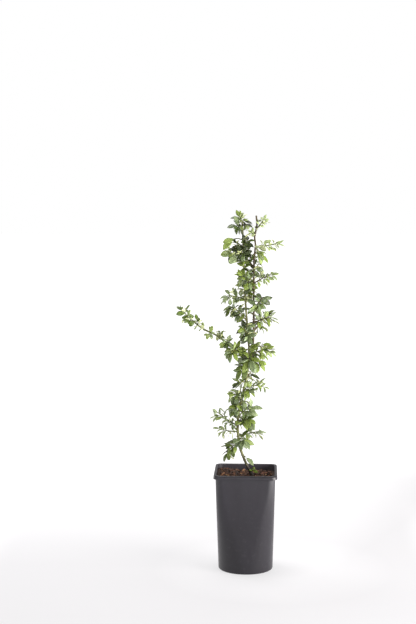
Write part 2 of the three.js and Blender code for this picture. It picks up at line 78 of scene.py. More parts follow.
# Each limb: the points its middle runs through, and its radius at the foot and at the tip.
LIMBS = {
    "main_stem": {
        "points": [
            (14, 6, SOIL_TOP + CLEARANCE), (1, 5, 227), (-13, 1, 266), (-17.5, -3, 305), (-15.5, -2, 340),
            (-7, 1, 380), (3, 4, 428), (6, 3, 480), (1, 0, 545), (-4, -2, 620), (-6, 1, 690), (-9, 0, 752),
        ],
        "foot_radius": 2.6, "tip_radius": 1.1, "flare_radius": 4.8, "flare_height": 34,
    },
    "right_leader": {
        "points": [
            (3, 4, 428), (12, 1, 452), (16, -5, 510), (16, -7, 590), (16.5, -5, 664), (19.5, -4, 700),
            (17.8, -4, 719), (22.3, -3, 742), (21, -2, 764),
        ],
        "foot_radius": 1.9, "tip_radius": 1.0, "leaves": "main_stem",
    },
    "long_left_bough": {
        "points": [(4.5, 3.5, 452), (-14, 0, 470), (-34, -3, 484), (-60, -5, 506), (-92, -4, 521)],
        "foot_radius": 1.8, "tip_radius": 1.2, "leaves": "main_stem",
    },
}

LEAF_WIDTH = 0.46
LEAF_WIDTH_SPREAD = 0.12
LEAF_WIDEST_AT = 0.52
LEAF_TIP_AT = 0.97
LEAF_TIP_WIDTH = 0.45
LEAF_TIP_DROP = 0.06
LEAF_KEEL_AT = 0.45
LEAF_THICKNESS = 0.04
LEAF_SUNK = 0.35
GOLDEN_ANGLE = 137.5
TWIG_FOOT_RADIUS = 0.85
TWIG_RADIUS_PER_LENGTH = 0.009
TWIG_TIP_RADIUS = 0.65
TWIG_STEP = 15
TWIG_ZIGZAG = 14
FIRST_LEAF_AT = 0.20
PITCH_BASE, PITCH_TIP, PITCH_SPREAD, PITCH_TERMINAL = 75, 48, 30, 8
TILT_SPREAD, TILT_TERMINAL = 90, 24
FACING_OUTWARD, FACING_LIGHT, LIGHT_AZIMUTH = 0.5, 0.6, 270
SECOND_CHOICES = (0, 45, -45, 90)
DROOP = {"old": 0.45, "mature": 0.25, "young": 0.05}
DROOP_LEAST, DROOP_SPREAD = 0.3, 1.4            # shares of it that a leaf takes
LEAF_SHORTEST, LEAF_LENGTH_SPREAD = 0.8, 0.35   # shares of its mass's leaf length
BLADE_ROOM_FROM = 0.6           # a leaf clears its own mass from this share of the way to its keel
OVER_SOIL, OVER_RIM, RIM_WIDTH = 1, 2, 5        # growth keeps this clear of the compost and the rim

# Each mass of foliage: the limb and height it leaves at, its azimuth and rise, the length of its
# stem and how far that bends up (+) or down (-), its leaf nodes, leaves at each node, leaf length.
MASSES = [
    # name, limb, height, azimuth, rise, length, bend, nodes, leaves per node, leaf length, growth
    ("foot_sprout", "main_stem", 210, 300, 20, 8, 30, 1, 2, 14, "young"),
    ("low_front_leaf", "main_stem", 246, 325, -15, 5, -25, 1, 1, 29, "mature"),
    ("low_left_spray", "main_stem", 276, 203, -30, 31, -50, 6, 2, 22, "old"),
    ("low_right_spur", "main_stem", 282, 318, 15, 13, -40, 5, 2, 27, "old"),
    ("low_right_spray", "main_stem", 289, 20, 10, 44, 5, 5, 2, 19, "mature"),
    ("left_spray_lower", "main_stem", 299, 165, 0, 38, 10, 5, 2, 19, "young"),
    ("left_spray", "main_stem", 312, 190, 30, 50, 0, 6, 2, 17, "mature"),
    ("low_back_spray", "main_stem", 318, 60, 30, 22, 10, 5, 2, 22, "mature"),
    ("mid_right_spur", "main_stem", 318, 328, 30, 24, -40, 5, 2, 24, "mature"),
    ("mid_right_spray", "main_stem", 332, 350, 45, 28, -50, 6, 2, 26, "mature"),
    ("mid_left_spur", "main_stem", 352, 215, 10, 12, -60, 5, 2, 26, "old"),
    ("mid_front_leaf", "main_stem", 368, 290, 5, 10, -30, 2, 2, 24, "mature"),
    ("mid_back_spray", "main_stem", 360, 95, 30, 18, 10, 5, 2, 23, "old"),
    ("upper_left_spray", "main_stem", 384, 195, -10, 20, -40, 5, 2, 23, "mature"),
    ("centre_right_spur", "main_stem", 390, 325, 5, 12, -40, 5, 2, 25, "mature"),
    ("centre_left_spur", "main_stem", 406, 205, 5, 12, -40, 5, 2, 25, "old"),
    ("centre_front_spur", "main_stem", 410, 270, 10, 10, -50, 2, 2, 24, "young"),
    ("right_spray", "main_stem", 396, 22, 5, 40, -5, 4, 2, 19, "mature"),
    ("centre_back_spray", "main_stem", 414, 65, 30, 22, 0, 5, 2, 24, "old"),
    ("waist_front_spray", "main_stem", 458, 285, 10, 10, -70, 5, 2, 33, "old"),
    ("waist_upper_spray", "main_stem", 476, 250, 15, 13, -60, 5, 2, 27, "old"),
    ("waist_left_spur", "main_stem", 442, 225, 0, 18, -60, 5, 2, 27, "old"),
    ("waist_left_spray", "long_left_bough", 474, 245, 10, 24, -50, 6, 2, 22, "old"),
    ("waist_right_spray", "right_leader", 468, 350, 25, 24, -10, 5, 2, 22, "mature"),
    ("waist_right_shoot", "right_leader", 484, 10, 0, 38, -50, 4, 1, 24, "young"),
    ("waist_front_right", "right_leader", 456, 335, -10, 12, -40, 2, 3, 26, "mature"),
    ("waist_back_spray", "main_stem", 452, 100, 25, 24, -10, 6, 2, 23, "old"),
    ("long_left_inner", "long_left_bough", 490, 265, 30, 10, 10, 5, 2, 18, "mature"),
    ("long_left_upper", "long_left_bough", 503, 100, 50, 10, 0, 2, 3, 16, "mature"),
    ("long_left_lower", "long_left_bough", 514, 250, -20, 7, 0, 2, 2, 15, "mature"),
    ("long_left_tip", "long_left_bough", "tip", 180, 37, 60, -5, 6, 2, 19, "young"),
    ("left_peek", "main_stem", 586, 190, 15, 36, -5, 6, 2, 20, "mature"),
    ("right_peek_lower", "right_leader", 536, 355, 20, 34, 0, 6, 2, 20, "mature"),
    ("right_peek_upper", "right_leader", 620, 350, 30, 38, -10, 4, 2, 20, "mature"),
    ("left_twig", "main_stem", 652, 188, 68, 38, -72, 3, 2, 30, "mature"),
    ("clump_front", "main_stem", 678, 250, 35, 15, 20, 4, 4, 21, "old"),
    ("clump_left", "main_stem", 692, 200, 40, 15, 10, 4, 4, 20, "old"),
    ("clump_right", "main_stem", 700, 320, 40, 12, 0, 6, 2, 20, "old"),
    ("clump_back", "main_stem", 688, 100, 35, 16, 0, 4, 4, 21, "old"),
    ("big_leaf_left", "main_stem", 712, 186, 15, 20, -40, 1, 2, 31, "mature"),
    ("right_shoot", "right_leader", 696, 355, 10, 46, -5, 5, 2, 17, "young"),
    ("right_arching", "right_leader", 684, 345, 0, 8, -60, 2, 2, 30, "mature"),
    ("leader_side_shoot", "right_leader", 734, 350, 52, 20, 15, 6, 2, 13, "young"),
    ("leader_spurs", "right_leader", 722, 200, 35, 7, 0, 5, 2, 13, "young"),
    ("top_left_leaves", "main_stem", 741, 200, 15, 10, -40, 3, 2, 23, "mature"),
    ("top_right_leaves", "main_stem", 742, 340, 20, 8, -20, 3, 2, 20, "old"),
    ("top_rosette", "main_stem", "tip", 190, 60, 8, 0, 4, 3, 17, "mature"),
]

# Where the two leaders run side by side, ascending sprays of one kind fill the column all round.
COLUMN_COUNT = 8
COLUMN_FROM, COLUMN_TO = 494, 652
COLUMN_LIMBS = ("main_stem", "right_leader")
COLUMN_FIRST_AZIMUTH = 255
COLUMN_SHAPE = (48, 40, -10, 10, 2, 23, "old")
for i in range(COLUMN_COUNT):
    height = COLUMN_FROM + (COLUMN_TO - COLUMN_FROM) * i / (COLUMN_COUNT - 1)
    azimuth = (COLUMN_FIRST_AZIMUTH + GOLDEN_ANGLE * i) % 360
    MASSES.append((f"column_spray_{i + 1}", COLUMN_LIMBS[i % 2], height, azimuth, *COLUMN_SHAPE))

# ---------------------------------------------------------------- sizes of the finer growth

LEAF_BLADE_FROM = 0.12          # the share of a leaf's length that is its stalk
STALK_WIDTH = 0.9
BLADE_THICKNESS = 0.22
MIDRIB_DEPTH = 0.35
BUD_LENGTH = 1.8

# Side twigs: how far apart they are on a stem, how long they are, and how many leaves each has.
SIDE_TWIG_EVERY = {"old": 10, "mature": 12, "young": 13}
SIDE_TWIG_LENGTH = 13
SIDE_TWIG_LENGTHS = (0.7, 1.15)                 # shares of that length
SIDE_TWIG_LEAVES = 4
SIDE_TWIGS_FROM, SIDE_TWIGS_TO = 0.15, 0.9      # the stretch of the stem that has them
SIDE_TWIG_ALONG, SIDE_TWIG_OUT = 0.65, 0.76     # so a twig leaves its stem at about 50 degrees
SIDE_TWIG_BENDS = (-0.25, 0.35)                 # how much its outer half turns down or up
SIDE_TWIG_ROOM = (0.5, 0.45, 0.35)              # the radius kept free at its foot, middle and tip
SIDE_TWIG_RADII = (0.65, 0.45)                  # its own radius at foot and tip
SIDE_LEAVES_FROM = 0.35                         # the share of a twig that is bare at its foot
SIDE_LEAF_PITCHES = (70, 25)    # how many degrees a leaf stands off at the twig's foot and at its tip
SIDE_LEAF_LENGTHS = (0.7, 1.05)                 # shares of its mass's leaf length
SIDE_LEAF_DROOP = 0.6                           # the share of the usual droop

# The rosette round a mass's foot: how many leaves it has, and how they point.
FOOT_LEAVES = {"old": 3, "mature": 3, "young": 2}
FOOT_LEAF_LENGTHS = (0.75, 1.1)
FOOT_LEAF_OUT, FOOT_LEAF_RISES = 0.85, (0.1, 0.7)
FOOT_LEAF_DROOP = 0.8
FOOT_LEAF_TILT = 45

# The small leaf in each leaf's axil: how many degrees it is turned away, and its share of the length.
AXIL_SWINGS = (35, 75)
AXIL_LEAF_LENGTHS = (0.55, 0.9)

FINE_LEAF_WIDTHS = (0.38, 0.52)
FINE_LEAF_TILT = 70
TURNS_ROUND = range(0, 360, 60)         # ways round a limb that are tried until one has space
REACH_MARGIN = 4                        # how far finer growth may stand out of its solid's box
FINE_GROWTH_SEED, LEAF_SHAPE_SEED, CHIP_SEED = 100, 700, 5

# Leaves that stand out by themselves: their mass, where their stalks begin, the ways they point and
# face, and their length.
LONE_LEAVES = [
    ("right_shoot", (20.5, -7, 699), (0.95, -0.1, -0.22), (0.05, 0.9, 0.35), 29),
    ("top_rosette", (-11, -1, 762), (-0.3, -0.1, 0.95), (-0.2, -0.9, 0.2), 14),
    ("top_left_leaves", (-12, 0, 758), (-0.97, -0.15, 0.15), (0, -0.6, 0.8), 24),
    ("top_left_leaves", (-13, -1, 751), (-0.93, -0.3, -0.1), (0, -0.6, 0.8), 19),
    ("top_left_leaves", (-9, -2, 734), (-0.98, -0.2, 0.05), (0, -0.7, 0.7), 25),
    ("top_left_leaves", (-9, 1, 738), (-0.8, 0.1, -0.45), (-0.1, -0.7, 0.7), 20),
    ("top_right_leaves", (-6, -1, 753), (0.93, -0.2, -0.25), (0, -0.6, 0.8), 20),
    ("top_right_leaves", (-6, 0, 745), (0.97, 0.1, -0.15), (0, -0.7, 0.7), 21),
    ("leader_spurs", (21, -4, 734), (-0.75, -0.2, -0.6), (0, -0.8, 0.5), 11),
    ("leader_side_shoot", (24, -3, 750), (0.8, -0.2, 0.55), (0, -0.8, 0.5), 11),
]
LONE_LEAF_TURNS = (0, 20, -20, 40)
BARK_SWELL_FOOT = 0.45          # how far the bark stands out over the limbs' solids
BARK_SWELL_TIP = 0.8

# How some masses depart from the usual: how many more leaves stand at their foot, how much broader
# their leaves are, and which green most of them have, by its place among the greens of their age.
HABITS = {
    "low_left_spray": (2, 0.95, None), "low_right_spur": (2, 0.95, 2), "low_right_spray": (2, 0.9, 3),
    "left_spray_lower": (0, 0.8, None), "left_spray": (0, 0.8, 3), "mid_right_spur": (3, 1.1, None),
    "mid_right_spray": (3, 1.1, None), "mid_left_spur": (3, 1.1, None), "mid_front_leaf": (3, 1.2, None),
    "mid_back_spray": (3, 1.1, None), "upper_left_spray": (3, 1.05, None),
    "centre_right_spur": (0, 0.8, None), "centre_left_spur": (0, 0.8, None),
    "centre_front_spur": (0, 0.8, None), "right_spray": (0, 0.8, None), "centre_back_spray": (0, 0.8, None),
    "waist_right_spray": (2, 0.9, 2), "waist_right_shoot": (0, 0.95, 2), "long_left_inner": (3, 1, None),
    "long_left_upper": (3, 1.15, None), "long_left_lower": (3, 1.15, None), "long_left_tip": (3, 1.4, 0),
    # The clump's masses mostly take the deepest old green: painted shade, for their leaves lie in shade.
    "left_twig": (0, 1.3, 1), "clump_front": (6, 1, 0), "clump_left": (6, 1, 0), "clump_right": (5, 1, 0),
    "clump_back": (4, 1, 0), "big_leaf_left": (0, 1.15, 2), "right_shoot": (3, 1.05, 2),
    "right_arching": (2, 1.1, None), "leader_side_shoot": (3, 1, 2), "leader_spurs": (4, 1.1, 2),
    "top_left_leaves": (5, 0.88, 0), "top_right_leaves": (6, 0.92, 0), "top_rosette": (9, 0.92, 1),
}
USUAL_HABIT = (0, 1, None)

# ---------------------------------------------------------------- small helpers

UP = np.array([0.0, 0.0, 1.0])


def seeded_random(seed):
    """Evenly spread numbers from 0 to 1, the same ones that the solids were grown with."""
    state = (seed * 7919 + 12345) & 0xFFFFFFFF

    def draw():
        nonlocal state
        state = (state * 1664525 + 1013904223) & 0xFFFFFFFF
        return state / 2 ** 32

    return draw


def mix(low, high, share):
    return low + (high - low) * share


def unit(vector):
    return vector / np.linalg.norm(vector)


def heading(azimuth, rise):
    a, r = math.radians(azimuth), math.radians(rise)
    return np.array([math.cos(a) * math.cos(r), math.sin(a) * math.cos(r), math.sin(r)])


def across_of(direction):
    """Two directions square to the given one."""
    side = np.cross(direction, UP)
    side = unit(side) if side @ side >= 1e-3 else np.array([1.0, 0.0, 0.0])
    return side, unit(np.cross(side, direction))


def square_to(vector, direction):
    """The part of a vector that is square to a unit direction, at length 1."""
    return unit(vector - direction * (vector @ direction))


def turned(vector, axis, angle):
    """A vector turned about a unit axis."""
    return (vector * math.cos(angle) + np.cross(axis, vector) * math.sin(angle)
            + axis * (axis @ vector) * (1 - math.cos(angle)))


# ---------------------------------------------------------------- limbs and lines

LENGTH_SAMPLES, PLACE_SAMPLES = 200, 400
BLOCK_LENGTH = 8                # a limb is kept clear of as short straight blocks
BLOCK_MARGIN = 1.1              # which are so much thicker than the limb


class Line:
    """A smooth line through points, on which limbs and twigs run."""

    def __init__(self, points):
        self.points = np.array(points, float)
        before = 2 * self.points[0] - self.points[1]
        after = 2 * self.points[-1] - self.points[-2]
        self.guides = np.vstack([before, self.points, after])

    def point(self, t):
        last = len(self.points) - 1
        step = min(int(math.floor(last * t)), last - 1)
        w = last * t - step
        a, b, c, d = self.guides[step:step + 4]
        leave, arrive = (c - a) / 2, (d - b) / 2
        return (b + leave * w + (3 * (c - b) - 2 * leave - arrive) * w ** 2
                + (2 * (b - c) + leave + arrive) * w ** 3)

    def tangent(self, t):
        return unit(self.point(min(t + 0.0001, 1)) - self.point(max(t - 0.0001, 0)))


class Limb(Line):
    """The main stem, a leader or a bough: a line with a tapering radius."""

    def __init__(self, name, points, foot_radius, tip_radius, flare_radius=0, flare_height=0, leaves=None):
        super().__init__(points)
        self.name = name
        self.foot_radius, self.tip_radius = foot_radius, tip_radius
        self.flare_radius, self.flare_height = flare_radius, flare_height
        samples = np.array([self.point(i / LENGTH_SAMPLES) for i in range(LENGTH_SAMPLES + 1)])
        self.length = np.linalg.norm(np.diff(samples, axis=0), axis=1).sum()
        self.start = 0
        while leaves and limbs[leaves].distance_to(self.point(self.start)) < foot_radius + CLEARANCE + 0.25:
            self.start += 0.001

    def radius(self, t):
        height = t * self.length
        flare = 1 - height / self.flare_height if height < self.flare_height else 0
        return mix(self.foot_radius, self.tip_radius, t) + flare ** 2 * (self.flare_radius - self.foot_radius)

    def distance_to(self, point):
        """How far a point is outside the limb's surface."""
        shares = [i / PLACE_SAMPLES for i in range(PLACE_SAMPLES + 1)]
        return min(np.linalg.norm(self.point(t) - point) - self.radius(t) for t in shares)

    def share_at_height(self, z):
        """The share of the line at which the limb first reaches a height."""
        heights = [self.point(i / PLACE_SAMPLES)[2] for i in range(PLACE_SAMPLES + 1)]
        for i, (low, high) in enumerate(zip(heights, heights[1:])):
            if high >= z:
                return (i + (z - low) / (high - low)) / PLACE_SAMPLES
        return 1

    def blocks(self):
        """The limb as straight blocks, for keeping leaves clear of it."""
        pieces = math.ceil(self.length / BLOCK_LENGTH)
        ends = [mix(self.start, 1, i / pieces) for i in range(pieces + 1)]
        points, radii = [self.point(t) for t in ends], [self.radius(t) * BLOCK_MARGIN for t in ends]
        return [twig_block(*points[i:i + 2], *radii[i:i + 2], 4, self.name) for i in range(pieces)]


# ---------------------------------------------------------------- keeping pieces apart

class Block:
    """A convex piece: its corners, and the directions along which it may be told apart."""

    def __init__(self, corners, directions, owner):
        self.corners = np.array(corners)
        self.directions = np.array(directions)
        self.owner = owner
        self.middle = self.corners.mean(axis=0)
        self.reach = np.linalg.norm(self.corners - self.middle, axis=1).max()


def apart(a, b):
    if np.linalg.norm(a.middle - b.middle) > a.reach + b.reach + CLEARANCE:
        return True
    crossings = np.cross(a.directions[:3, None], b.directions[None, :3]).reshape(-1, 3)
    directions = np.vstack([a.directions, b.directions, crossings])
    lengths = np.linalg.norm(directions, axis=1)
    units = directions[lengths ** 2 >= 1e-4] / lengths[lengths ** 2 >= 1e-4, None]
    of_a, of_b = a.corners @ units.T, b.corners @ units.T
    gaps = np.maximum(of_a.min(axis=0) - of_b.max(axis=0), of_b.min(axis=0) - of_a.max(axis=0))
    return bool((gaps > CLEARANCE).any())


class Room:
    """All that has been placed so far, so that nothing grows through anything else."""

    def __init__(self, most=12000):
        self.blocks = []
        self.middles = np.zeros((most, 3))
        self.reaches = np.zeros(most)

    def add(self, block):
        self.middles[len(self.blocks)] = block.middle
        self.reaches[len(self.blocks)] = block.reach
        self.blocks.append(block)

    def has_space(self, block, *ignored_owners):
        count = len(self.blocks)
        away = np.linalg.norm(self.middles[:count] - block.middle, axis=1)
        near = np.nonzero(away <= self.reaches[:count] + block.reach + CLEARANCE)[0]
        others = (self.blocks[i] for i in near)
        return all(other.owner in ignored_owners or apart(block, other) for other in others)


def twig_block(start, end, start_radius, end_radius, sides, owner):
    along = unit(end - start)
    side, over = across_of(along)
    corners = []
    for middle, radius in ((start, start_radius), (end, end_radius)):
        out = radius / math.cos(math.pi / sides)
        for i in range(sides):
            turn = 2 * math.pi * (i + 0.5) / sides
            corners.append(middle + side * math.cos(turn) * out + over * math.sin(turn) * out)
    return Block(corners, [along, side, over], owner)


def meets_pot(corners):
    """Nothing grows into the compost or over the pot's rim."""
    low = min(p[2] for p in corners)
    wide = max(max(abs(p[0]), abs(p[1])) for p in corners)
    over_rim = low < POT_HEIGHT + OVER_RIM and wide > POT_RIM_HALF_WIDTH - RIM_WIDTH
    return over_rim or low < SOIL_TOP + SOIL_UNEVENNESS + OVER_SOIL


# ---------------------------------------------------------------- growing by the solids' rule

class Leaf:
    """Where one leaf stands: its stalk's root, the ways it points and faces, and its size."""

    def __init__(self, root, along, normal, length, width):
        self.root, self.along, self.normal = root, along, normal
        self.length, self.width = length, width
        across = np.cross(normal, along)

        def at(u, v, w):
            return root + along * (u * length) + across * (v * width) + normal * (w * length)

        self.corners = [
            at(0, 0, 0),
            at(LEAF_WIDEST_AT, -0.5, LEAF_THICKNESS / 2),
            at(LEAF_TIP_AT, -LEAF_TIP_WIDTH / 2, -LEAF_TIP_DROP),
            at(LEAF_TIP_AT, LEAF_TIP_WIDTH / 2, -LEAF_TIP_DROP),
            at(LEAF_WIDEST_AT, 0.5, LEAF_THICKNESS / 2),
            at(LEAF_KEEL_AT, 0, -LEAF_THICKNESS / 2),
        ]

    def block(self, owner, root=None):
        corners = self.corners if root is None else [root, *self.corners[1:]]
        outline = corners[:5]
        edges = [np.cross(outline[(i + 1) % 5] - outline[i], self.normal) for i in range(5)]
        across = np.cross(self.normal, self.along)
        return Block(corners, [self.along, across, self.normal, *edges], owner)

    def blade_block(self, owner):
        """The leaf without the part next to its root, which is all its own mass has to clear."""
        return self.block(owner, mix(self.corners[0], self.corners[5], BLADE_ROOM_FROM))


class Mass:
    """One mass of foliage: a stem that leaves its limb, and the leaves on it."""

    def __init__(self, row, index):
        (self.name, self.limb_name, height, self.azimuth, rise, self.length, bend,
         self.nodes, self.per_node, self.leaf_length, self.growth) = row
        self.draw = seeded_random(index + 1)
        limb = limbs[self.limb_name]
        at_tip = height == "tip"
        share = 1 if at_tip else limb.share_at_height(height)
        foot_radius = TWIG_FOOT_RADIUS + TWIG_RADIUS_PER_LENGTH * self.length
        out = heading(self.azimuth, rise)
        slant = abs(out @ limb.tangent(share))
        upright = math.sqrt(1 - slant ** 2)
        away = (CLEARANCE + foot_radius * upright if at_tip
                else (limb.radius(share) + CLEARANCE + foot_radius * slant) / upright)
        self.foot = limb.point(share)
        self.foot_share = share
        path = [self.foot + out * away]
        steps = max(2, int(math.floor(self.length / TWIG_STEP + 0.5)))
        turn, lift = self.azimuth, rise
        for i in range(steps):
            end = path[i] + heading(turn, lift) * (self.length / steps)
            turn += (self.draw() - 0.5) * TWIG_ZIGZAG
            lift += (self.draw() - 0.5) * TWIG_ZIGZAG + bend / steps
            radii = [mix(foot_radius, TWIG_TIP_RADIUS, (i + k) / steps) for k in (0, 1)]
            piece = twig_block(path[i], end, *radii, 3, self.name)
            own = (self.name, self.limb_name) if i == 0 else (self.name,)
            if meets_pot(piece.corners) or not room.has_space(piece, *own):
                break
            room.add(piece)
            path.append(end)
        self.line = Line(path)
        self.foot_radius = foot_radius
        self.tip_radius = mix(foot_radius, TWIG_TIP_RADIUS, (len(path) - 1) / steps)
        self.facing = (UP + heading(self.azimuth, 0) * FACING_OUTWARD
                       + heading(LIGHT_AZIMUTH, 0) * FACING_LIGHT)
        self.leaves = []
        self.twigs = [(self.line, self.foot_radius, self.tip_radius)]

    def grow_leaves(self):
        first_roll = self.draw() * 360
        blades = []
        for i in range(self.nodes * self.per_node):
            t = mix(FIRST_LEAF_AT, 1, i // self.per_node / (self.nodes - 1) if self.nodes > 1 else 1)
            tangent = self.line.tangent(t)
            side, over = across_of(tangent)
            usual = mix(PITCH_BASE, PITCH_TIP, t) + (self.draw() - 0.5) * PITCH_SPREAD
            is_terminal = i == self.nodes * self.per_node - 1
            pitch = math.radians(PITCH_TERMINAL if is_terminal else usual)
            length = self.leaf_length * (LEAF_SHORTEST + LEAF_LENGTH_SPREAD * self.draw())
            width = length * (LEAF_WIDTH + LEAF_WIDTH_SPREAD * (self.draw() - 0.5))
            sag = DROOP[self.growth] * (DROOP_LEAST + DROOP_SPREAD * self.draw())
            tilt = math.radians((self.draw() - 0.5) * (TILT_TERMINAL if is_terminal else TILT_SPREAD))
            for turn in SECOND_CHOICES:
                roll = math.radians(first_roll + GOLDEN_ANGLE * i + turn)
                along = unit(tangent * math.cos(pitch) + side * (math.cos(roll) * math.sin(pitch))
                             + over * (math.sin(roll) * math.sin(pitch)) - UP * sag)
                normal = turned(square_to(self.facing, along), along, tilt)
                root = self.line.point(t) - along * (LEAF_SUNK * TWIG_TIP_RADIUS)
                leaf = Leaf(root, along, normal, length, width)
                blade = leaf.blade_block(self.name)
                if meets_pot(leaf.corners) or not all(apart(blade, other) for other in blades):
                    continue
                if not room.has_space(leaf.block(self.name), self.name):
                    continue
                room.add(leaf.block(self.name))
                blades.append(blade)
                self.leaves.append(leaf)
                break


room = Room()
limbs = {}
for name, sizes in LIMBS.items():
    limbs[name] = Limb(name, **sizes)
for limb in limbs.values():
    for piece in limb.blocks():
        room.add(piece)
masses = [Mass(row, i) for i, row in enumerate(MASSES)]
for mass in masses:
    mass.grow_leaves()

# ---------------------------------------------------------------- finer growth

class Finish:
    """Adds small leaves and side twigs to a mass, within the reach of its solid."""

    def __init__(self, mass, seed):
        self.mass = mass
        self.dice = random.Random(seed)
        low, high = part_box(mass.name)
        self.low = np.array(low) / MM - REACH_MARGIN
        self.high = np.array(high) / MM + REACH_MARGIN

    def within_reach(self, points):
        return (self.low <= points).all() and (points <= self.high).all()

    def try_leaf(self, root, along, face, length, tilt_range=FINE_LEAF_TILT):
        """Adds a leaf where it stays within reach and touches nothing."""
        along = unit(along)
        tilt = math.radians(self.dice.uniform(-tilt_range, tilt_range))
        normal = turned(square_to(face, along), along, tilt)
        leaf = Leaf(root, along, normal, length, length * self.dice.uniform(*FINE_LEAF_WIDTHS))
        block = leaf.blade_block("fine")
        if not self.within_reach(leaf.corners) or meets_pot(leaf.corners) or not room.has_space(block):
            return False
        room.add(block)
        self.mass.leaves.append(leaf)
        return True

    def lone_leaves(self):
        """Leaves with a place of their own, turned a little to the side where that is taken."""
        for name, root, along, face, length in LONE_LEAVES:
            if name != self.mass.name:
                continue
            for turn in LONE_LEAF_TURNS:
                swung = turned(np.array(along), UP, math.radians(turn))
                if self.try_leaf(np.array(root), swung, np.array(face), length, 0):
                    break

    def axil_leaves(self):
        """Each leaf has a smaller one from the bud in its axil, turned away to its side."""
        for leaf in list(self.mass.leaves):
            swing = self.dice.choice((-1, 1)) * math.radians(self.dice.uniform(*AXIL_SWINGS))
            along = turned(leaf.along, leaf.normal, swing) + UP * self.dice.uniform(-0.3, 0.3)
            length = leaf.length * self.dice.uniform(*AXIL_LEAF_LENGTHS)
            self.try_leaf(leaf.root, along, self.mass.facing, length)

    def foot_leaves(self):
        """A rosette of leaves stands round the foot of the mass, on its limb's bark."""
        mass = self.mass
        limb = limbs[mass.limb_name]
        upward = limb.tangent(mass.foot_share)
        side, over = across_of(upward)
        roll = self.dice.uniform(0, 360)
        for k in range(FOOT_LEAVES[mass.growth] + HABITS.get(mass.name, USUAL_HABIT)[0]):
            length = mass.leaf_length * self.dice.uniform(*FOOT_LEAF_LENGTHS)
            for turn in TURNS_ROUND:
                angle = math.radians(roll + GOLDEN_ANGLE * k + turn)
                out = side * math.cos(angle) + over * math.sin(angle)
                root = mass.foot + out * limb.radius(mass.foot_share) * 0.9
                along = (out * FOOT_LEAF_OUT + upward * self.dice.uniform(*FOOT_LEAF_RISES)
                         - UP * DROOP[mass.growth] * FOOT_LEAF_DROOP)
                if self.try_leaf(root, along, mass.facing, length, FOOT_LEAF_TILT):
                    break

    def side_twigs(self):
        """Side twigs leave the stem all round, and bear leaves up to their tips."""
        mass = self.mass
        count = int(mass.length / SIDE_TWIG_EVERY[mass.growth])
        roll = self.dice.uniform(0, 360)
        for i in range(count):
            t = mix(SIDE_TWIGS_FROM, SIDE_TWIGS_TO, (i + 0.5) / count)
            tangent = mass.line.tangent(t)
            side, over = across_of(tangent)
            length = SIDE_TWIG_LENGTH * self.dice.uniform(*SIDE_TWIG_LENGTHS)
            for turn in TURNS_ROUND:
                angle = math.radians(roll + GOLDEN_ANGLE * i + turn)
                out = unit(tangent * SIDE_TWIG_ALONG + side * (math.cos(angle) * SIDE_TWIG_OUT)
                           + over * (math.sin(angle) * SIDE_TWIG_OUT))
                start = mass.line.point(t)
                bend = UP * self.dice.uniform(*SIDE_TWIG_BENDS)
                path = [start, start + out * (length * 0.5), start + unit(out + bend) * length]
                at_foot, at_middle, at_tip = SIDE_TWIG_ROOM
                blocks = [twig_block(mix(path[0], path[1], 0.3), path[1], at_foot, at_middle, 4, "fine"),
                          twig_block(path[1], path[2], at_middle, at_tip, 4, "fine")]
                clear = all(room.has_space(block, mass.name) and not meets_pot(block.corners)
                            for block in blocks)
                if clear and self.within_reach(path):
                    for block in blocks:
                        room.add(block)
                    self.leafy_twig(Line(path))
                    break

    def leafy_twig(self, line):
        self.mass.twigs.append((line, *SIDE_TWIG_RADII))
        roll = self.dice.uniform(0, 360)
        for k in range(SIDE_TWIG_LEAVES):
            t = mix(SIDE_LEAVES_FROM, 1, k / (SIDE_TWIG_LEAVES - 1))
            tangent = line.tangent(t)
            side, over = across_of(tangent)
            pitch = math.radians(mix(*SIDE_LEAF_PITCHES, t))
            length = self.mass.leaf_length * self.dice.uniform(*SIDE_LEAF_LENGTHS)
            for turn in SECOND_CHOICES:
                angle = math.radians(roll + GOLDEN_ANGLE * k + turn)
                along = (tangent * math.cos(pitch) + side * (math.cos(angle) * math.sin(pitch))
                         + over * (math.sin(angle) * math.sin(pitch))
                         - UP * DROOP[self.mass.growth] * SIDE_LEAF_DROOP)
                if self.try_leaf(line.point(t), along, self.mass.facing, length):
                    break


for i, mass in enumerate(masses):
    finish = Finish(mass, FINE_GROWTH_SEED + i)
    finish.lone_leaves()
    finish.foot_leaves()
    finish.side_twigs()
    finish.axil_leaves()

# ---------------------------------------------------------------- making meshes

def deselect_all():
    bpy.ops.object.select_all(action="DESELECT")


def take(piece):
    """Makes one object the selected and active one."""
    deselect_all()
    piece.select_set(True)
    bpy.context.view_layer.objects.active = piece


def apply_modifier(piece, name, kind, **settings):
    take(piece)
    modifier = piece.modifiers.new(name, kind)
    for setting, value in settings.items():
        setattr(modifier, setting, value)
    bpy.ops.object.modifier_apply(modifier=modifier.name)


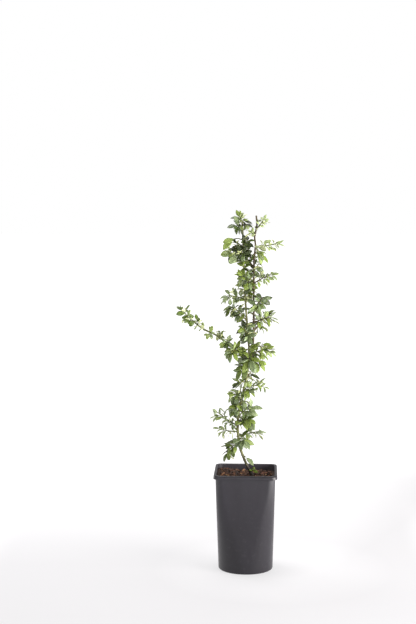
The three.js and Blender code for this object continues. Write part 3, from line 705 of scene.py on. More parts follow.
def pull_skin(name, rings):
    """Adds a ring of edges and extrudes it from ring to ring. Both ends are closed."""
    deselect_all()
    bpy.ops.mesh.primitive_circle_add(vertices=len(rings[0]), radius=1)
    piece = bpy.context.object
    piece.name = name
    for vertex, place in zip(piece.data.vertices, rings[0]):
        vertex.co = np.array(place) * MM
    bpy.ops.object.mode_set(mode="EDIT")
    bpy.ops.mesh.select_all(action="SELECT")
    bpy.ops.mesh.edge_face_add()
    bpy.ops.object.mode_set(mode="OBJECT")
    order = {tuple(vertex.co): i for i, vertex in enumerate(piece.data.vertices)}
    for ring in rings[1:]:
        bpy.ops.object.mode_set(mode="EDIT")
        bpy.ops.mesh.extrude_region_move()
        bpy.ops.object.mode_set(mode="OBJECT")
        ends = [vertex for vertex in piece.data.vertices if vertex.select]
        places = [order[tuple(vertex.co)] for vertex in ends]
        for vertex, i in zip(ends, places):
            vertex.co = np.array(ring[i]) * MM
        order = {tuple(vertex.co): i for vertex, i in zip(ends, places)}
    bpy.ops.object.mode_set(mode="EDIT")
    bpy.ops.mesh.select_all(action="SELECT")
    bpy.ops.mesh.normals_make_consistent(inside=False)
    bpy.ops.object.mode_set(mode="OBJECT")
    return piece


def smooth(piece, angle):
    take(piece)
    bpy.ops.object.shade_smooth_by_angle(angle=math.radians(angle))


def clouds(name, size):
    """A procedural cloud texture whose lumps are about so many millimetres across."""
    texture = bpy.data.textures.new(name, "CLOUDS")
    texture.noise_scale = size * MM
    return texture


class Pieces:
    """Gathers the corners and faces of many small shapes, and makes them one mesh."""

    def __init__(self):
        self.corners, self.faces, self.slots, self.places = [], [], [], []
        self.count = 0

    def add(self, corners, faces, slots, places=None):
        self.corners.append(np.asarray(corners) * MM)
        self.faces.extend([tuple(corner + self.count for corner in face) for face in faces])
        self.slots.extend(slots)
        if places is not None:
            self.places.extend(places[corner] for face in faces for corner in face)
        self.count += len(corners)

    def make(self, name, materials):
        mesh = bpy.data.meshes.new(name)
        mesh.from_pydata(np.vstack(self.corners).tolist(), [], self.faces)
        mesh.polygons.foreach_set("material_index", self.slots)
        if self.places:
            layer = mesh.uv_layers.new(name="blade")
            layer.data.foreach_set("uv", np.array(self.places, np.float32).ravel())
        for material in materials:
            mesh.materials.append(material)
        piece = bpy.data.objects.new(name, mesh)
        bpy.context.scene.collection.objects.link(piece)
        return piece


def finished(piece, slot, *nodes, materials=()):
    """A piece that stands for these nodes: it rides with the pot and takes the given materials. Its slot is
    not used.
    """
    for material in materials:
        piece.data.materials.append(material)
    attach(piece, "root")
    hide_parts(*nodes)
    return piece


# ---------------------------------------------------------------- materials

def linear(colour):
    """An sRGB colour such as 0x45424a as linear values."""
    shares = [(colour >> shift & 255) / 255 for shift in (16, 8, 0)]
    return (*(s / 12.92 if s <= 0.04045 else ((s + 0.055) / 1.055) ** 2.4 for s in shares), 1)


def add_node(tree, kind, settings=(), links=()):
    """Adds a node. Settings go to its properties or its unlinked inputs, links to its inputs."""
    node = tree.nodes.new(kind)
    for key, value in dict(settings).items():
        if isinstance(key, str) and hasattr(node, key):
            setattr(node, key, value)
        else:
            node.inputs[key].default_value = value
    for key, socket in dict(links).items():
        tree.links.new(socket, node.inputs[key])
    return node


def new_material(name):
    """A new material, its nodes, its shader and the place on the object that its patterns follow."""
    material = bpy.data.materials.new(name)
    material.use_nodes = True
    tree = material.node_tree
    place = add_node(tree, "ShaderNodeTexCoord").outputs["Object"]
    return material, tree, tree.nodes["Principled BSDF"], place


def per_metre(size):
    """The scale of a noise whose grains are so many millimetres across."""
    return 1 / (size * MM)


def noise(tree, place, size, detail=3, roughness=0.55):
    return add_node(tree, "ShaderNodeTexNoise",
                    {"Scale": per_metre(size), "Detail": detail, "Roughness": roughness},
                    {"Vector": place}).outputs["Fac"]


def blended(tree, factor, low, high):
    """A colour between two, each an sRGB number or a socket."""
    mixer = add_node(tree, "ShaderNodeMix", {"data_type": "RGBA"}, {0: factor})
    for index, colour in ((6, low), (7, high)):
        if isinstance(colour, int):
            mixer.inputs[index].default_value = linear(colour)
        else:
            tree.links.new(colour, mixer.inputs[index])
    return mixer.outputs[2]


def stretched(tree, value, low, high, to_low=0.0, to_high=1.0, way="LINEAR"):
    """Maps a value from one range to another, held to its ends."""
    ends = {"interpolation_type": way, "From Min": low, "From Max": high, "To Min": to_low, "To Max": to_high}
    return add_node(tree, "ShaderNodeMapRange", ends, {"Value": value}).outputs[0]


def reckoned(tree, operation, first, second=0.0, third=0.0):
    node = add_node(tree, "ShaderNodeMath", {"operation": operation})
    for index, value in enumerate((first, second, third)):
        if isinstance(value, (int, float)):
            node.inputs[index].default_value = value
        else:
            tree.links.new(value, node.inputs[index])
    return node.outputs[0]


def painted(tree, shader, colour, roughness):
    """Gives a shader its colour, and its roughness as a number or a socket."""
    tree.links.new(colour, shader.inputs["Base Color"])
    if isinstance(roughness, (int, float)):
        shader.inputs["Roughness"].default_value = roughness
    else:
        tree.links.new(roughness, shader.inputs["Roughness"])


def bumped(tree, shader, height, depth):
    """Relief so many millimetres deep."""
    bump = add_node(tree, "ShaderNodeBump", {"Distance": depth * MM, "Strength": 1}, {"Height": height})
    tree.links.new(bump.outputs[0], shader.inputs["Normal"])


def pot_plastic():
    # Recycled polypropylene, injection moulded: a dark satin grey with a fine grain, a trace of
    # swirl from the melt and a light dusting of pale specks, which breaks up its broad soft reflections.
    # The inside walls are painted paler: painted light, standing in for light that falls into the pot.
    material, tree, shader, place = new_material("recycled_polypropylene_moulded")
    swirl = add_node(tree, "ShaderNodeMapping", {"Scale": (1, 1, 0.25)}, {"Vector": place}).outputs[0]
    tint = blended(tree, stretched(tree, noise(tree, swirl, 38, detail=4), 0.3, 0.7), 0x1b181e, 0x242128)
    level = add_node(tree, "ShaderNodeMapping", {"Scale": (1, 1, 0)}, {"Vector": place}).outputs[0]
    faces = add_node(tree, "ShaderNodeNewGeometry").outputs["Normal"]
    outward = add_node(tree, "ShaderNodeVectorMath", {"operation": "DOT_PRODUCT"}, {0: level, 1: faces})
    # Painted light: the inside walls, which face the pot's middle, are painted half way to pale grey.
    painted_inside_light = stretched(tree, outward.outputs["Value"], -0.01, -0.04, 0, 0.5)
    specks = stretched(tree, noise(tree, place, 9, detail=6, roughness=0.7), 0.56, 0.82, 0, 0.18)
    # The pale specks all over, and the painted light on the inside walls.
    dust_and_painted_light = reckoned(tree, "MAXIMUM", painted_inside_light, specks)
    satin = stretched(tree, noise(tree, place, 5, detail=5), 0.3, 0.7, 0.3, 0.42)
    painted(tree, shader, blended(tree, dust_and_painted_light, tint, 0x66626a), satin)
    shader.inputs["IOR"].default_value = 1.49
    ripple, fine_grain = noise(tree, swirl, 14, detail=2), noise(tree, place, 0.7, detail=2)
    grain = reckoned(tree, "MULTIPLY_ADD", ripple, 0.8, fine_grain)
    bumped(tree, shader, grain, 0.035)
    return material


def compost():
    # Fine composted bark: near black, damp and crumbly, so it has hardly any shine.
    material, tree, shader, place = new_material("composted_bark_fines")
    crumbs = noise(tree, place, 2.2, detail=8, roughness=0.7)
    painted(tree, shader, blended(tree, stretched(tree, crumbs, 0.35, 0.7), 0x1d120d, 0x4b3224), 0.9)
    bumped(tree, shader, crumbs, 1.2)
    return material


def chip(name, dark, light):
    # Shredded pine bark: brown flakes with a fibrous grain, matt where torn.
    material, tree, shader, place = new_material(name)
    fibre = add_node(tree, "ShaderNodeMapping", {"Scale": (1, 4, 2)}, {"Vector": place}).outputs[0]
    grain = noise(tree, fibre, 2.5, detail=6, roughness=0.65)
    painted(tree, shader, blended(tree, stretched(tree, grain, 0.35, 0.65), dark, light), 0.82)
    bumped(tree, shader, grain, 0.4)
    return material


def bark(name, dark, light, lenticel, roughness, foot=None):
    # Young bark: smooth and thin, streaked along the shoot, with green and brown stretches, and dotted
    # with pale corky lenticels. The stem's foot is older, darker and wet from the compost.
    material, tree, shader, place = new_material(name)
    along = add_node(tree, "ShaderNodeMapping", {"Scale": (1, 1, 0.12)}, {"Vector": place}).outputs[0]
    streaks = noise(tree, along, 1.6, detail=5, roughness=0.6)
    stretches = add_node(tree, "ShaderNodeMapping", {"Scale": (0.3, 0.3, 1)}, {"Vector": place}).outputs[0]
    patches = noise(tree, stretches, 26, detail=1)
    tint = blended(tree, stretched(tree, reckoned(tree, "MULTIPLY_ADD", patches, 1.6, streaks), 1.0, 1.6),
                   dark, light)
    if foot is not None:
        height = add_node(tree, "ShaderNodeSeparateXYZ", (), {0: place}).outputs[2]
        tint = blended(tree, stretched(tree, height, 0.222, 0.242), foot, tint)
    cells = add_node(tree, "ShaderNodeTexVoronoi", {"Scale": per_metre(2.4)}, {"Vector": place}).outputs[0]
    dots = stretched(tree, cells, 0.12, 0.2, 1, 0)
    painted(tree, shader, blended(tree, reckoned(tree, "MULTIPLY", dots, 0.7), tint, lenticel), roughness)
    bumped(tree, shader, reckoned(tree, "MULTIPLY_ADD", dots, 0.6, streaks), 0.25)
    return material


def leaf_face(name, colour, shade, rib, roughness, rib_share, depth):
    # A firethorn leaf's skin. Its upper face is leathery with a waxy cuticle, which gives sharp pale
    # highlights, and its midrib and side veins are pressed in. Below it is paler and matt; the mature
    # and young undersides are painted paler still, painted light as if lit through from behind.
    material, tree, shader, place = new_material(name)
    blade = add_node(tree, "ShaderNodeUVMap", {"uv_map": "blade"}).outputs[0]
    split = add_node(tree, "ShaderNodeSeparateXYZ", (), {0: blade})
    off_rib = reckoned(tree, "ABSOLUTE", reckoned(tree, "SUBTRACT", split.outputs[0], 0.5))
    midrib = stretched(tree, off_rib, 0.012, 0.045, 1, 0)
    slanted = reckoned(tree, "MULTIPLY_ADD", off_rib, -5.0, reckoned(tree, "MULTIPLY", split.outputs[1], 9.0))
    veins = stretched(tree, reckoned(tree, "PINGPONG", slanted, 0.5), 0, 0.09, 0.3, 0)
    ribs = reckoned(tree, "MAXIMUM", midrib, veins)
    tint = blended(tree, stretched(tree, noise(tree, place, 7, detail=4), 0.3, 0.7), shade, colour)
    painted(tree, shader, blended(tree, reckoned(tree, "MULTIPLY", ribs, rib_share), tint, rib), roughness)
    shader.inputs["IOR"].default_value = 1.45
    bumped(tree, shader, ribs, depth)
    return material


# ---------------------------------------------------------------- pot

CORNER_POINTS = 14              # points in each rounded corner of the fine pot
SIDE_POINTS = 6                 # points along each straight side between the corners
WALL_RINGS, INSIDE_RINGS = 24, 20
DRILL_SIDES = 32
POT_SMOOTHING, SOFT_SMOOTHING = 40, 60      # up to how many degrees an edge is smooth


def square_ring(half_width, corner_radius, z):
    """A level ring: a square of the given half width with rounded corners."""
    radius = min(corner_radius, half_width * 0.985)
    middle = half_width - radius
    ring = []
    for corner in range(4):
        towards = heading(45 + 90 * corner, 0)
        centre = np.array([math.copysign(middle, towards[0]), math.copysign(middle, towards[1]), z])
        ring += [centre + heading(90 * (corner + i / CORNER_POINTS), 0) * radius
                 for i in range(CORNER_POINTS + 1)]
        side = heading(90 * (corner + 2), 0) * (2 * middle)
        ring += [ring[-1] + side * (i / SIDE_POINTS) for i in range(1, SIDE_POINTS)]
    return ring


def body_ring(z, inset=0.0):
    """The wall at a height: round at the foot, square under the lip."""
    share = z / POT_HEIGHT
    half_width = mix(POT_FOOT_HALF_WIDTH, POT_RIM_HALF_WIDTH, share)
    step = min(max((share + 0.1) / 1.1, 0), 1)
    radius = mix(POT_FOOT_HALF_WIDTH, POT_CORNER_RADIUS, step * step * (3 - 2 * step))
    return square_ring(half_width - inset, max(radius - inset, 1), z)


def lip_ring(inset, z):
    return square_ring(LIP_HALF_WIDTH - inset, LIP_CORNER_RADIUS, z)


def make_pot():
    foot = [square_ring(POT_FOOT_HALF_WIDTH - POT_FOOT_ROUNDING, POT_FOOT_HALF_WIDTH, 0)]
    for angle in (22.5, 45, 67.5, 90):
        turn = math.radians(angle)
        rise, inset = (POT_FOOT_ROUNDING * (1 - f(turn)) for f in (math.cos, math.sin))
        foot.append(body_ring(rise, inset))
    walls = [body_ring(z) for z in np.linspace(8, POT_HEIGHT - 4.6, WALL_RINGS)]
    hem = POT_HEIGHT - LIP_HEIGHT
    lip = [
        body_ring(POT_HEIGHT - 3.8, -0.15), lip_ring(3.1, POT_HEIGHT - 3.3), lip_ring(1.5, POT_HEIGHT - 3.6),
        lip_ring(LIP_THICKNESS + 0.15, POT_HEIGHT - 4.6), lip_ring(LIP_THICKNESS, hem + 0.4),
        lip_ring(0.75, hem), lip_ring(0.25, hem), lip_ring(0, hem + 0.4),
        lip_ring(0.35, POT_HEIGHT - 3.2), lip_ring(0.75, POT_HEIGHT - 1.5), lip_ring(1.3, POT_HEIGHT - 0.5),
        lip_ring(2.1, POT_HEIGHT), body_ring(POT_HEIGHT, POT_WALL - 0.6),
    ]
    inside = [body_ring(POT_HEIGHT - 0.5, POT_WALL)]
    inside += [body_ring(z, POT_WALL) for z in np.linspace(POT_HEIGHT - 4, POT_FLOOR, INSIDE_RINGS)]
    pot = pull_skin("pot_shell", foot + walls + lip + inside)
    deselect_all()
    for i in range(DRAIN_HOLES):
        place = heading(360 * (i + 0.5) / DRAIN_HOLES, 0) * DRAIN_HOLE_CIRCLE * MM
        bpy.ops.mesh.primitive_cylinder_add(vertices=DRILL_SIDES, radius=DRAIN_HOLE_RADIUS * MM,
                                            depth=4 * POT_FLOOR * MM, location=place)
        drill = bpy.context.object
        apply_modifier(pot, "drain_hole", "BOOLEAN", object=drill, operation="DIFFERENCE", solver="EXACT")
        bpy.data.objects.remove(drill)
    smooth(pot, POT_SMOOTHING)
    return finished(pot, "pot_plastic", "pot", materials=[pot_plastic()])


# ---------------------------------------------------------------- compost

BED_LEVELS = (50, 100, 150)
BED_RINGS = 23                  # rings from the rim of the bed to its middle
LUMP_SIZE, LUMP_HEIGHT = 14, 5
LUMPS_KEEP_IN = 58              # half the width of the part of the bed that is lumpy
CHIP_COUNT = 1500
CHIP_LENGTHS = (2.5, 11)        # shreds of bark from crumbs to thumbnail size
CHIP_CRUMBLE = 2.2              # 1 makes all lengths as common, more makes small ones common
CHIP_WIDTHS, CHIP_THICKNESSES = (0.25, 0.6), (0.08, 0.22)       # as shares of its length
CHIP_RAGGEDNESS, CHIP_TAPER, CHIP_BEND = 0.45, 0.9, 0.5
CHIP_LIFT = 28                  # how many degrees a shred may be tipped up
CHIP_HEIGHTS = (-0.8, 1.8)      # how far its underside lies from the top of the bed
CHIP_MARGIN = 4                 # how far the shreds stay from the wall
CHIP_TINTS = [                  # how common each is among a hundred, and its dark and light brown
    (46, "pine_bark_shreds_black", 0x1d120d, 0x402a20), (28, "pine_bark_shreds_brown", 0x3d261c, 0x6d4835),
    (16, "pine_bark_shreds_red", 0x4c2a1e, 0x80523a), (7, "pine_bark_shreds_tan", 0x70482f, 0xa67753),
    (3, "pine_wood_splinters", 0x9a734e, 0xcaa278),
]
STEM_CLEARANCE = 3.2            # from the stem's middle to the nearest shred


def heap_at(x):
    """How far the compost is heaped up towards the left of the pot."""
    step = min(max((-x - SOIL_HEAP_FROM) / (POT_RIM_HALF_WIDTH - 12 - SOIL_HEAP_FROM), 0), 1)
    return SOIL_HEAP_HEIGHT * step * step * (3 - 2 * step)


def make_compost():
    """Damp fines up to the stem's foot, lumpy on top."""
    inset = POT_WALL + CLEARANCE
    sides = [body_ring(z, inset) for z in (POT_FLOOR + CLEARANCE, *BED_LEVELS)]
    rim = body_ring(SOIL_TOP - 1.5, inset)
    middle = np.array([0, 0, rim[0][2]])
    level = [[mix(middle, p, share) for p in rim] for share in np.linspace(1, 0.04, BED_RINGS)]
    top = [[p + UP * heap_at(p[0]) for p in ring] for ring in level]
    bed = pull_skin("compost_bed", sides + top)
    lumpy = [v.index for v in bed.data.vertices if v.co.z > (SOIL_TOP - 2) * MM
             and max(abs(v.co.x), abs(v.co.y)) < LUMPS_KEEP_IN * MM]
    bed.vertex_groups.new(name="top").add(lumpy, 1, "REPLACE")
    apply_modifier(bed, "lumps", "DISPLACE", texture=clouds("lumps", LUMP_SIZE), direction="Z",
                   strength=LUMP_HEIGHT * MM, mid_level=0.5, vertex_group="top")
    smooth(bed, SOFT_SMOOTHING)
    return finished(bed, "bark_compost", "soil", materials=[compost()])


def chip_shape():
    """One shred of bark, a unit long: a bar cut once across each way, to be made ragged, tapered and bent
    where it is laid.
    """
    deselect_all()
    bpy.ops.mesh.primitive_cube_add(size=1)
    shred = bpy.context.object
    bpy.ops.object.mode_set(mode="EDIT")
    bpy.ops.mesh.select_all(action="SELECT")
    bpy.ops.mesh.subdivide(number_cuts=1)
    bpy.ops.object.mode_set(mode="OBJECT")
    corners = np.array([vertex.co for vertex in shred.data.vertices])
    faces = [tuple(face.vertices) for face in shred.data.polygons]
    bpy.data.objects.remove(shred)
    return corners, faces


def random_turn(dice, lift):
    """A random rotation that leaves a flat shape lying within so many degrees of level."""
    turn, tip, roll = dice.uniform(0, 360), dice.uniform(-lift, lift), dice.uniform(-lift, lift)
    forward = heading(turn, tip)
    side, over = across_of(forward)
    side = turned(side, forward, math.radians(roll))
    return np.array([forward, side, np.cross(forward, side)])


def make_chips():
    """Shreds of bark lie all over the compost, some half buried and some tipped up."""
    dice = random.Random(CHIP_SEED)
    corners, faces = chip_shape()
    shreds = Pieces()
    half = POT_RIM_HALF_WIDTH - POT_WALL - CHIP_MARGIN
    shortest, longest = CHIP_LENGTHS
    stem_foot = limbs["main_stem"].point(0)
    while len(shreds.corners) < CHIP_COUNT:
        x, y = dice.uniform(-half, half), dice.uniform(-half, half)
        length = mix(shortest, longest, dice.random() ** CHIP_CRUMBLE)
        room_left = half - length / 2 - max(abs(x), abs(y))
        in_corner = math.hypot(max(abs(x) - half + 14, 0), max(abs(y) - half + 14, 0)) > 13 - length / 2
        from_stem = math.hypot(x - stem_foot[0], y - stem_foot[1])
        if room_left < 0 or in_corner or from_stem < STEM_CLEARANCE + length / 2:
            continue
        width, thick = (length * dice.uniform(*shares) for shares in (CHIP_WIDTHS, CHIP_THICKNESSES))
        uneven = np.array([[dice.random() for _ in range(3)] for _ in corners]) - 0.5
        shape = corners * (1 + CHIP_RAGGEDNESS * uneven)
        shape[:, 1] *= 1 - CHIP_TAPER * np.abs(shape[:, 0])
        shape[:, 2] += CHIP_BEND * shape[:, 0] ** 2
        placed = shape * (length, width, thick) @ random_turn(dice, CHIP_LIFT)
        z = SOIL_TOP + heap_at(x) + dice.uniform(*CHIP_HEIGHTS) + thick / 2
        tint = dice.choices(range(len(CHIP_TINTS)), [row[0] for row in CHIP_TINTS])[0]
        shreds.add(placed + (x, y, z), faces, [tint] * len(faces))
    tints = [chip(*row[1:]) for row in CHIP_TINTS]
    return finished(shreds.make("compost_chips", tints), "bark_compost", "soil")


# ---------------------------------------------------------------- limbs

LIMB_SIDES = 14
RING_SPACING = 2.2
LEAF_SCAR_SPACING = 13.7
JOINT_SWELLING, JOINT_REACH = 0.22, 1.7     # how much thicker a joint is, and over what length
RIDGE_DEPTH, RIDGE_SIZE = 0.45, 2.6


def tube_rings(points, radii, sides, first_up=False):
    """Rings round a run of points. Each starts in the same direction, so the tube isn't twisted."""
    points = np.asarray(points)
    rings = []
    for i, (point, radius) in enumerate(zip(points, radii)):
        tangent = unit(points[min(i + 1, len(points) - 1)] - points[max(i - 1, 0)])
        if first_up and i == 0:
            tangent = UP
        side = square_to(np.array([1.0, 0.13, 0.0]), tangent)
        over = np.cross(tangent, side)
        turns = [2 * math.pi * k / sides for k in range(sides)]
        rings.append([point + (side * math.cos(a) + over * math.sin(a)) * radius for a in turns])
    return rings


def make_limb(name, slot, material):
    """A limb with its leaf scars and the swellings that its side stems leave from."""
    limb = limbs[name]
    piece_name = f"{name}_bark"
    joints = [mass.foot_share * limb.length for mass in masses if mass.limb_name == name]
    joints += list(np.arange(9, limb.length, LEAF_SCAR_SPACING))
    first = 0 if limb.flare_radius else max(limb.start - 6 / limb.length, 0)
    count = int(limb.length * (1 - first) / RING_SPACING)
    shares = [mix(first, 1, i / count) for i in range(count + 1)]
    radii = []
    for share in shares:
        along = share * limb.length
        swell = max(math.exp(-((along - joint) / JOINT_REACH) ** 2) for joint in joints)
        bark_swell = mix(BARK_SWELL_FOOT, BARK_SWELL_TIP, share)
        radii.append((limb.radius(share) + bark_swell) * (1 + JOINT_SWELLING * swell))
    points = [limb.point(share) for share in shares]
    skin = pull_skin(piece_name, tube_rings(points, radii, LIMB_SIDES, bool(limb.flare_radius)))
    apply_modifier(skin, "round", "SUBSURF", levels=1, render_levels=1)
    apply_modifier(skin, "ridges", "DISPLACE", texture=clouds(f"{piece_name}_ridges", RIDGE_SIZE),
                   strength=RIDGE_DEPTH * MM, mid_level=0.5)
    smooth(skin, SOFT_SMOOTHING)
    return finished(skin, slot, name, materials=[material])


# ---------------------------------------------------------------- twigs and buds

TWIG_SIDES, BUD_SIDES = 7, 5
RINGS_A_POINT = 5
BARKED_TWIG = 1.1               # how much thicker a twig is drawn than it has room for
BARKED_STEM = 1.2               # and a mass's own stem once more
NODE_SWELLING = 0.12
COLLAR_SWELLING = 1.35          # where a stem leaves its limb
BUD_PROFILE = ((0, 0.2), (0.25, 0.32), (0.6, 0.22), (1, 0.02))      # radii along it, for a length of 1
AXIL_BUD = 0.6                  # how long a bud by a leaf is, as a share of one at a tip


def add_tube(pieces, points, radii, sides, slot):
    """A closed tapering tube through points."""
    rings = tube_rings(points, radii, sides)
    last = (len(rings) - 1) * sides
    faces = [(r + i, r + (i + 1) % sides, r + sides + (i + 1) % sides, r + sides + i)
             for r in range(0, last, sides) for i in range(sides)]
    faces += [tuple(range(sides))[::-1], tuple(range(last, last + sides))]
    pieces.add([p for ring in rings for p in ring], faces, [slot] * len(faces))


def add_bud(pieces, place, along, length, slot):
    """A pointed bud, scaly below: a short tube that swells and closes."""
    points = [place + along * length * share for share, _ in BUD_PROFILE]
    add_tube(pieces, points, [length * radius for _, radius in BUD_PROFILE], BUD_SIDES, slot)


def add_twigs(pieces, mass, slot):
    """A mass's own stem and its side twigs, with a bud at each leaf and each tip."""
    for k, (line, foot_radius, tip_radius) in enumerate(mass.twigs):
        steps = RINGS_A_POINT * len(line.points)
        shares = [i / steps for i in range(steps + 1)]
        points = [line.point(s) for s in shares]
        radii = [mix(foot_radius, tip_radius, s) * (BARKED_TWIG + NODE_SWELLING * (i % 4 == 0))
                 for i, s in enumerate(shares)]
        if k == 0:
            radii = [radius * BARKED_STEM for radius in radii]
            points = [mix(mass.foot, points[0], 0.4), *points]
            radii = [radii[0] * COLLAR_SWELLING, *radii]
        add_tube(pieces, points, radii, TWIG_SIDES, slot)
        add_bud(pieces, points[-1], line.tangent(1), BUD_LENGTH, slot)
    for leaf in mass.leaves:
        out = unit(leaf.normal + leaf.along * 0.8)
        add_bud(pieces, leaf.root + leaf.normal * 0.35, out, BUD_LENGTH * AXIL_BUD, slot)


def make_twigs(growth):
    """All twigs of one age. The old and mature ones on the leader share its ruddy bark."""
    pieces = Pieces()
    nodes = [mass.name for mass in masses if mass.growth == growth]
    for mass in masses:
        if mass.growth == growth:
            add_twigs(pieces, mass, 1 if mass.limb_name == "right_leader" else 0)
    slot, materials = TWIG_FINISHES[growth]
    return finished(pieces.make(f"twigs_{growth}", materials), slot, *nodes)


# ---------------------------------------------------------------- leaves

LEAF_STATIONS = (0, 0.12, 0.26, 0.50, 0.75, 0.93, 1.0)
LEAF_STRIPS = 4
OUTLINE_FULLNESS = 0.78         # 1 is a slim leaf, less a fuller one
ARCHES = (0.2, 0.8)             # how far a leaf bends down over its length, in radians
ARCH_DROP = 0.8                 # how much of a true arc's drop it keeps
FOLDS = (0.08, 0.42)            # how steeply its halves rise from the midrib
MOST_TWIST = 0.2
MOST_WAVE, WAVES = 0.05, 2.5    # how high its rim waves, and how often over its length
HALF_BULGE = 0.16               # how far each half swells between midrib and rim
STEADY_SHARE = 0.45             # how much of a spray has its usual green
OWN_GREEN_SHARE = 0.75          # and where the mass has a green of its own


def leaf_pattern():
    """A leaf lying flat, as two skins that share their rim: x counts stations along it, y runs from
    -1 to 1 across it, and z is -1 inside the rim of the lower skin."""
    deselect_all()
    bpy.ops.mesh.primitive_grid_add(x_subdivisions=len(LEAF_STATIONS) - 1, y_subdivisions=LEAF_STRIPS, size=2)
    sheet = bpy.context.object
    last = len(LEAF_STATIONS) - 1
    upper = np.array([vertex.co for vertex in sheet.data.vertices])
    bpy.ops.object.mode_set(mode="EDIT")
    bpy.ops.mesh.select_all(action="SELECT")
    bpy.ops.mesh.duplicate()
    bpy.ops.mesh.flip_normals()
    bpy.ops.object.mode_set(mode="OBJECT")
    for vertex in list(sheet.data.vertices)[len(upper):]:
        if abs(vertex.co.x) < 0.999 and abs(vertex.co.y) < 0.999:
            vertex.co.z = -1
    bpy.ops.object.mode_set(mode="EDIT")
    bpy.ops.mesh.select_all(action="SELECT")
    bpy.ops.mesh.remove_doubles(threshold=1e-4)
    bpy.ops.object.mode_set(mode="OBJECT")
    corners = np.array([vertex.co for vertex in sheet.data.vertices])
    faces = [tuple(face.vertices) for face in sheet.data.polygons]
    below = [min(corners[i][2] for i in face) < -0.5 for face in faces]
    bpy.data.objects.remove(sheet)
    stations = np.rint((corners[:, 0] + 1) / 2 * last).astype(int)
    return np.array(LEAF_STATIONS)[stations], corners[:, 1], corners[:, 2], faces, below


along_share, across_share, depth_share, leaf_faces, leaf_below = leaf_pattern()
leaf_places = np.column_stack([(across_share + 1) / 2, along_share]).tolist()


def half_width_at(share, width):
    """The outline: a thin stalk, then a blade that is widest at its middle and narrows to its tip."""
    blade = np.clip((share - LEAF_BLADE_FROM) / (1 - LEAF_BLADE_FROM), 0, 1)
    outline = np.sin(np.pi * blade ** 0.95).clip(0, 1) ** OUTLINE_FULLNESS
    return np.maximum(outline * width / 2, STALK_WIDTH / 2 * (1 - 0.7 * blade))


def leaf_shape(leaf, dice, broader):
    """The corners of one leaf: folded along its midrib, arched towards its tip, twisted and waved."""
    arch = dice.uniform(*ARCHES)
    fold = dice.uniform(*FOLDS)
    twist = dice.uniform(-MOST_TWIST, MOST_TWIST)
    wave, phase = dice.uniform(0.0, MOST_WAVE), dice.uniform(0, 6)
    half = half_width_at(along_share, leaf.width * broader)
    off = np.abs(across_share)
    bulge = HALF_BULGE * (1 - (2 * off - 1) ** 2)
    rise = half * (off * (fold + wave * np.sin(2 * np.pi * WAVES * along_share + phase)) + bulge)
    rib = np.where(off < 0.1, MIDRIB_DEPTH * (1.4 - along_share), BLADE_THICKNESS)
    height = rise + depth_share * np.where(depth_share < -0.5, rib, 0)
    turn = twist * along_share
    y = across_share * half * np.cos(turn) - height * np.sin(turn)
    z = across_share * half * np.sin(turn) + height * np.cos(turn)
    angle = arch * along_share
    x = leaf.length * np.sin(angle) / arch + z * np.sin(angle)
    z = z * np.cos(angle) - leaf.length * (1 - np.cos(angle)) / arch * ARCH_DROP
    across = np.cross(leaf.normal, leaf.along)
    return leaf.root + np.outer(x, leaf.along) + np.outer(y, across) + np.outer(z, leaf.normal)


def make_leaves(growth):
    """All leaves of one age, in a few greens that are dealt out by spray."""
    pieces = Pieces()
    slot, faces_up, face_below = LEAF_FINISHES[growth]
    nodes = []
    for i, mass in enumerate(masses):
        if mass.growth != growth:
            continue
        nodes.append(mass.name)
        dice = random.Random(LEAF_SHAPE_SEED + i)
        _, broader, own_green = HABITS.get(mass.name, USUAL_HABIT)
        green = dice.randrange(1, len(faces_up))
        steady = STEADY_SHARE
        if own_green is not None:
            green, steady = own_green, OWN_GREEN_SHARE
        for leaf in mass.leaves:
            tint = green if dice.random() < steady else dice.randrange(len(faces_up))
            slots = [len(faces_up) if below else tint for below in leaf_below]
            pieces.add(leaf_shape(leaf, dice, broader), leaf_faces, slots, leaf_places)
    leaves = pieces.make(f"leaves_{growth}", [*faces_up, face_below])
    for polygon in leaves.data.polygons:
        polygon.use_smooth = True
    return finished(leaves, slot, *nodes)


# ---------------------------------------------------------------- the finishes and the pieces

# Each bark's darker and lighter tint, the tint of its lenticels, its roughness, and its tint at the foot.
OLD_BARK = bark("young_stem_bark_olive_brown", 0x3a341b, 0x7a7c40, 0x958b66, 0.6, 0x2a1f16)
RUDDY_BARK = bark("leader_bark_ruddy", 0x2f240f, 0x483d20, 0x6a5e3c, 0.68)
GREEN_BARK = bark("green_shoot_skin", 0x383d1a, 0x5c6330, 0x7d7f54, 0.55)
TWIG_FINISHES = {
    "old": ("old_bark", [OLD_BARK, RUDDY_BARK]),
    "mature": ("young_bark", [GREEN_BARK, RUDDY_BARK]),
    "young": ("green_bark", [GREEN_BARK, GREEN_BARK]),
}
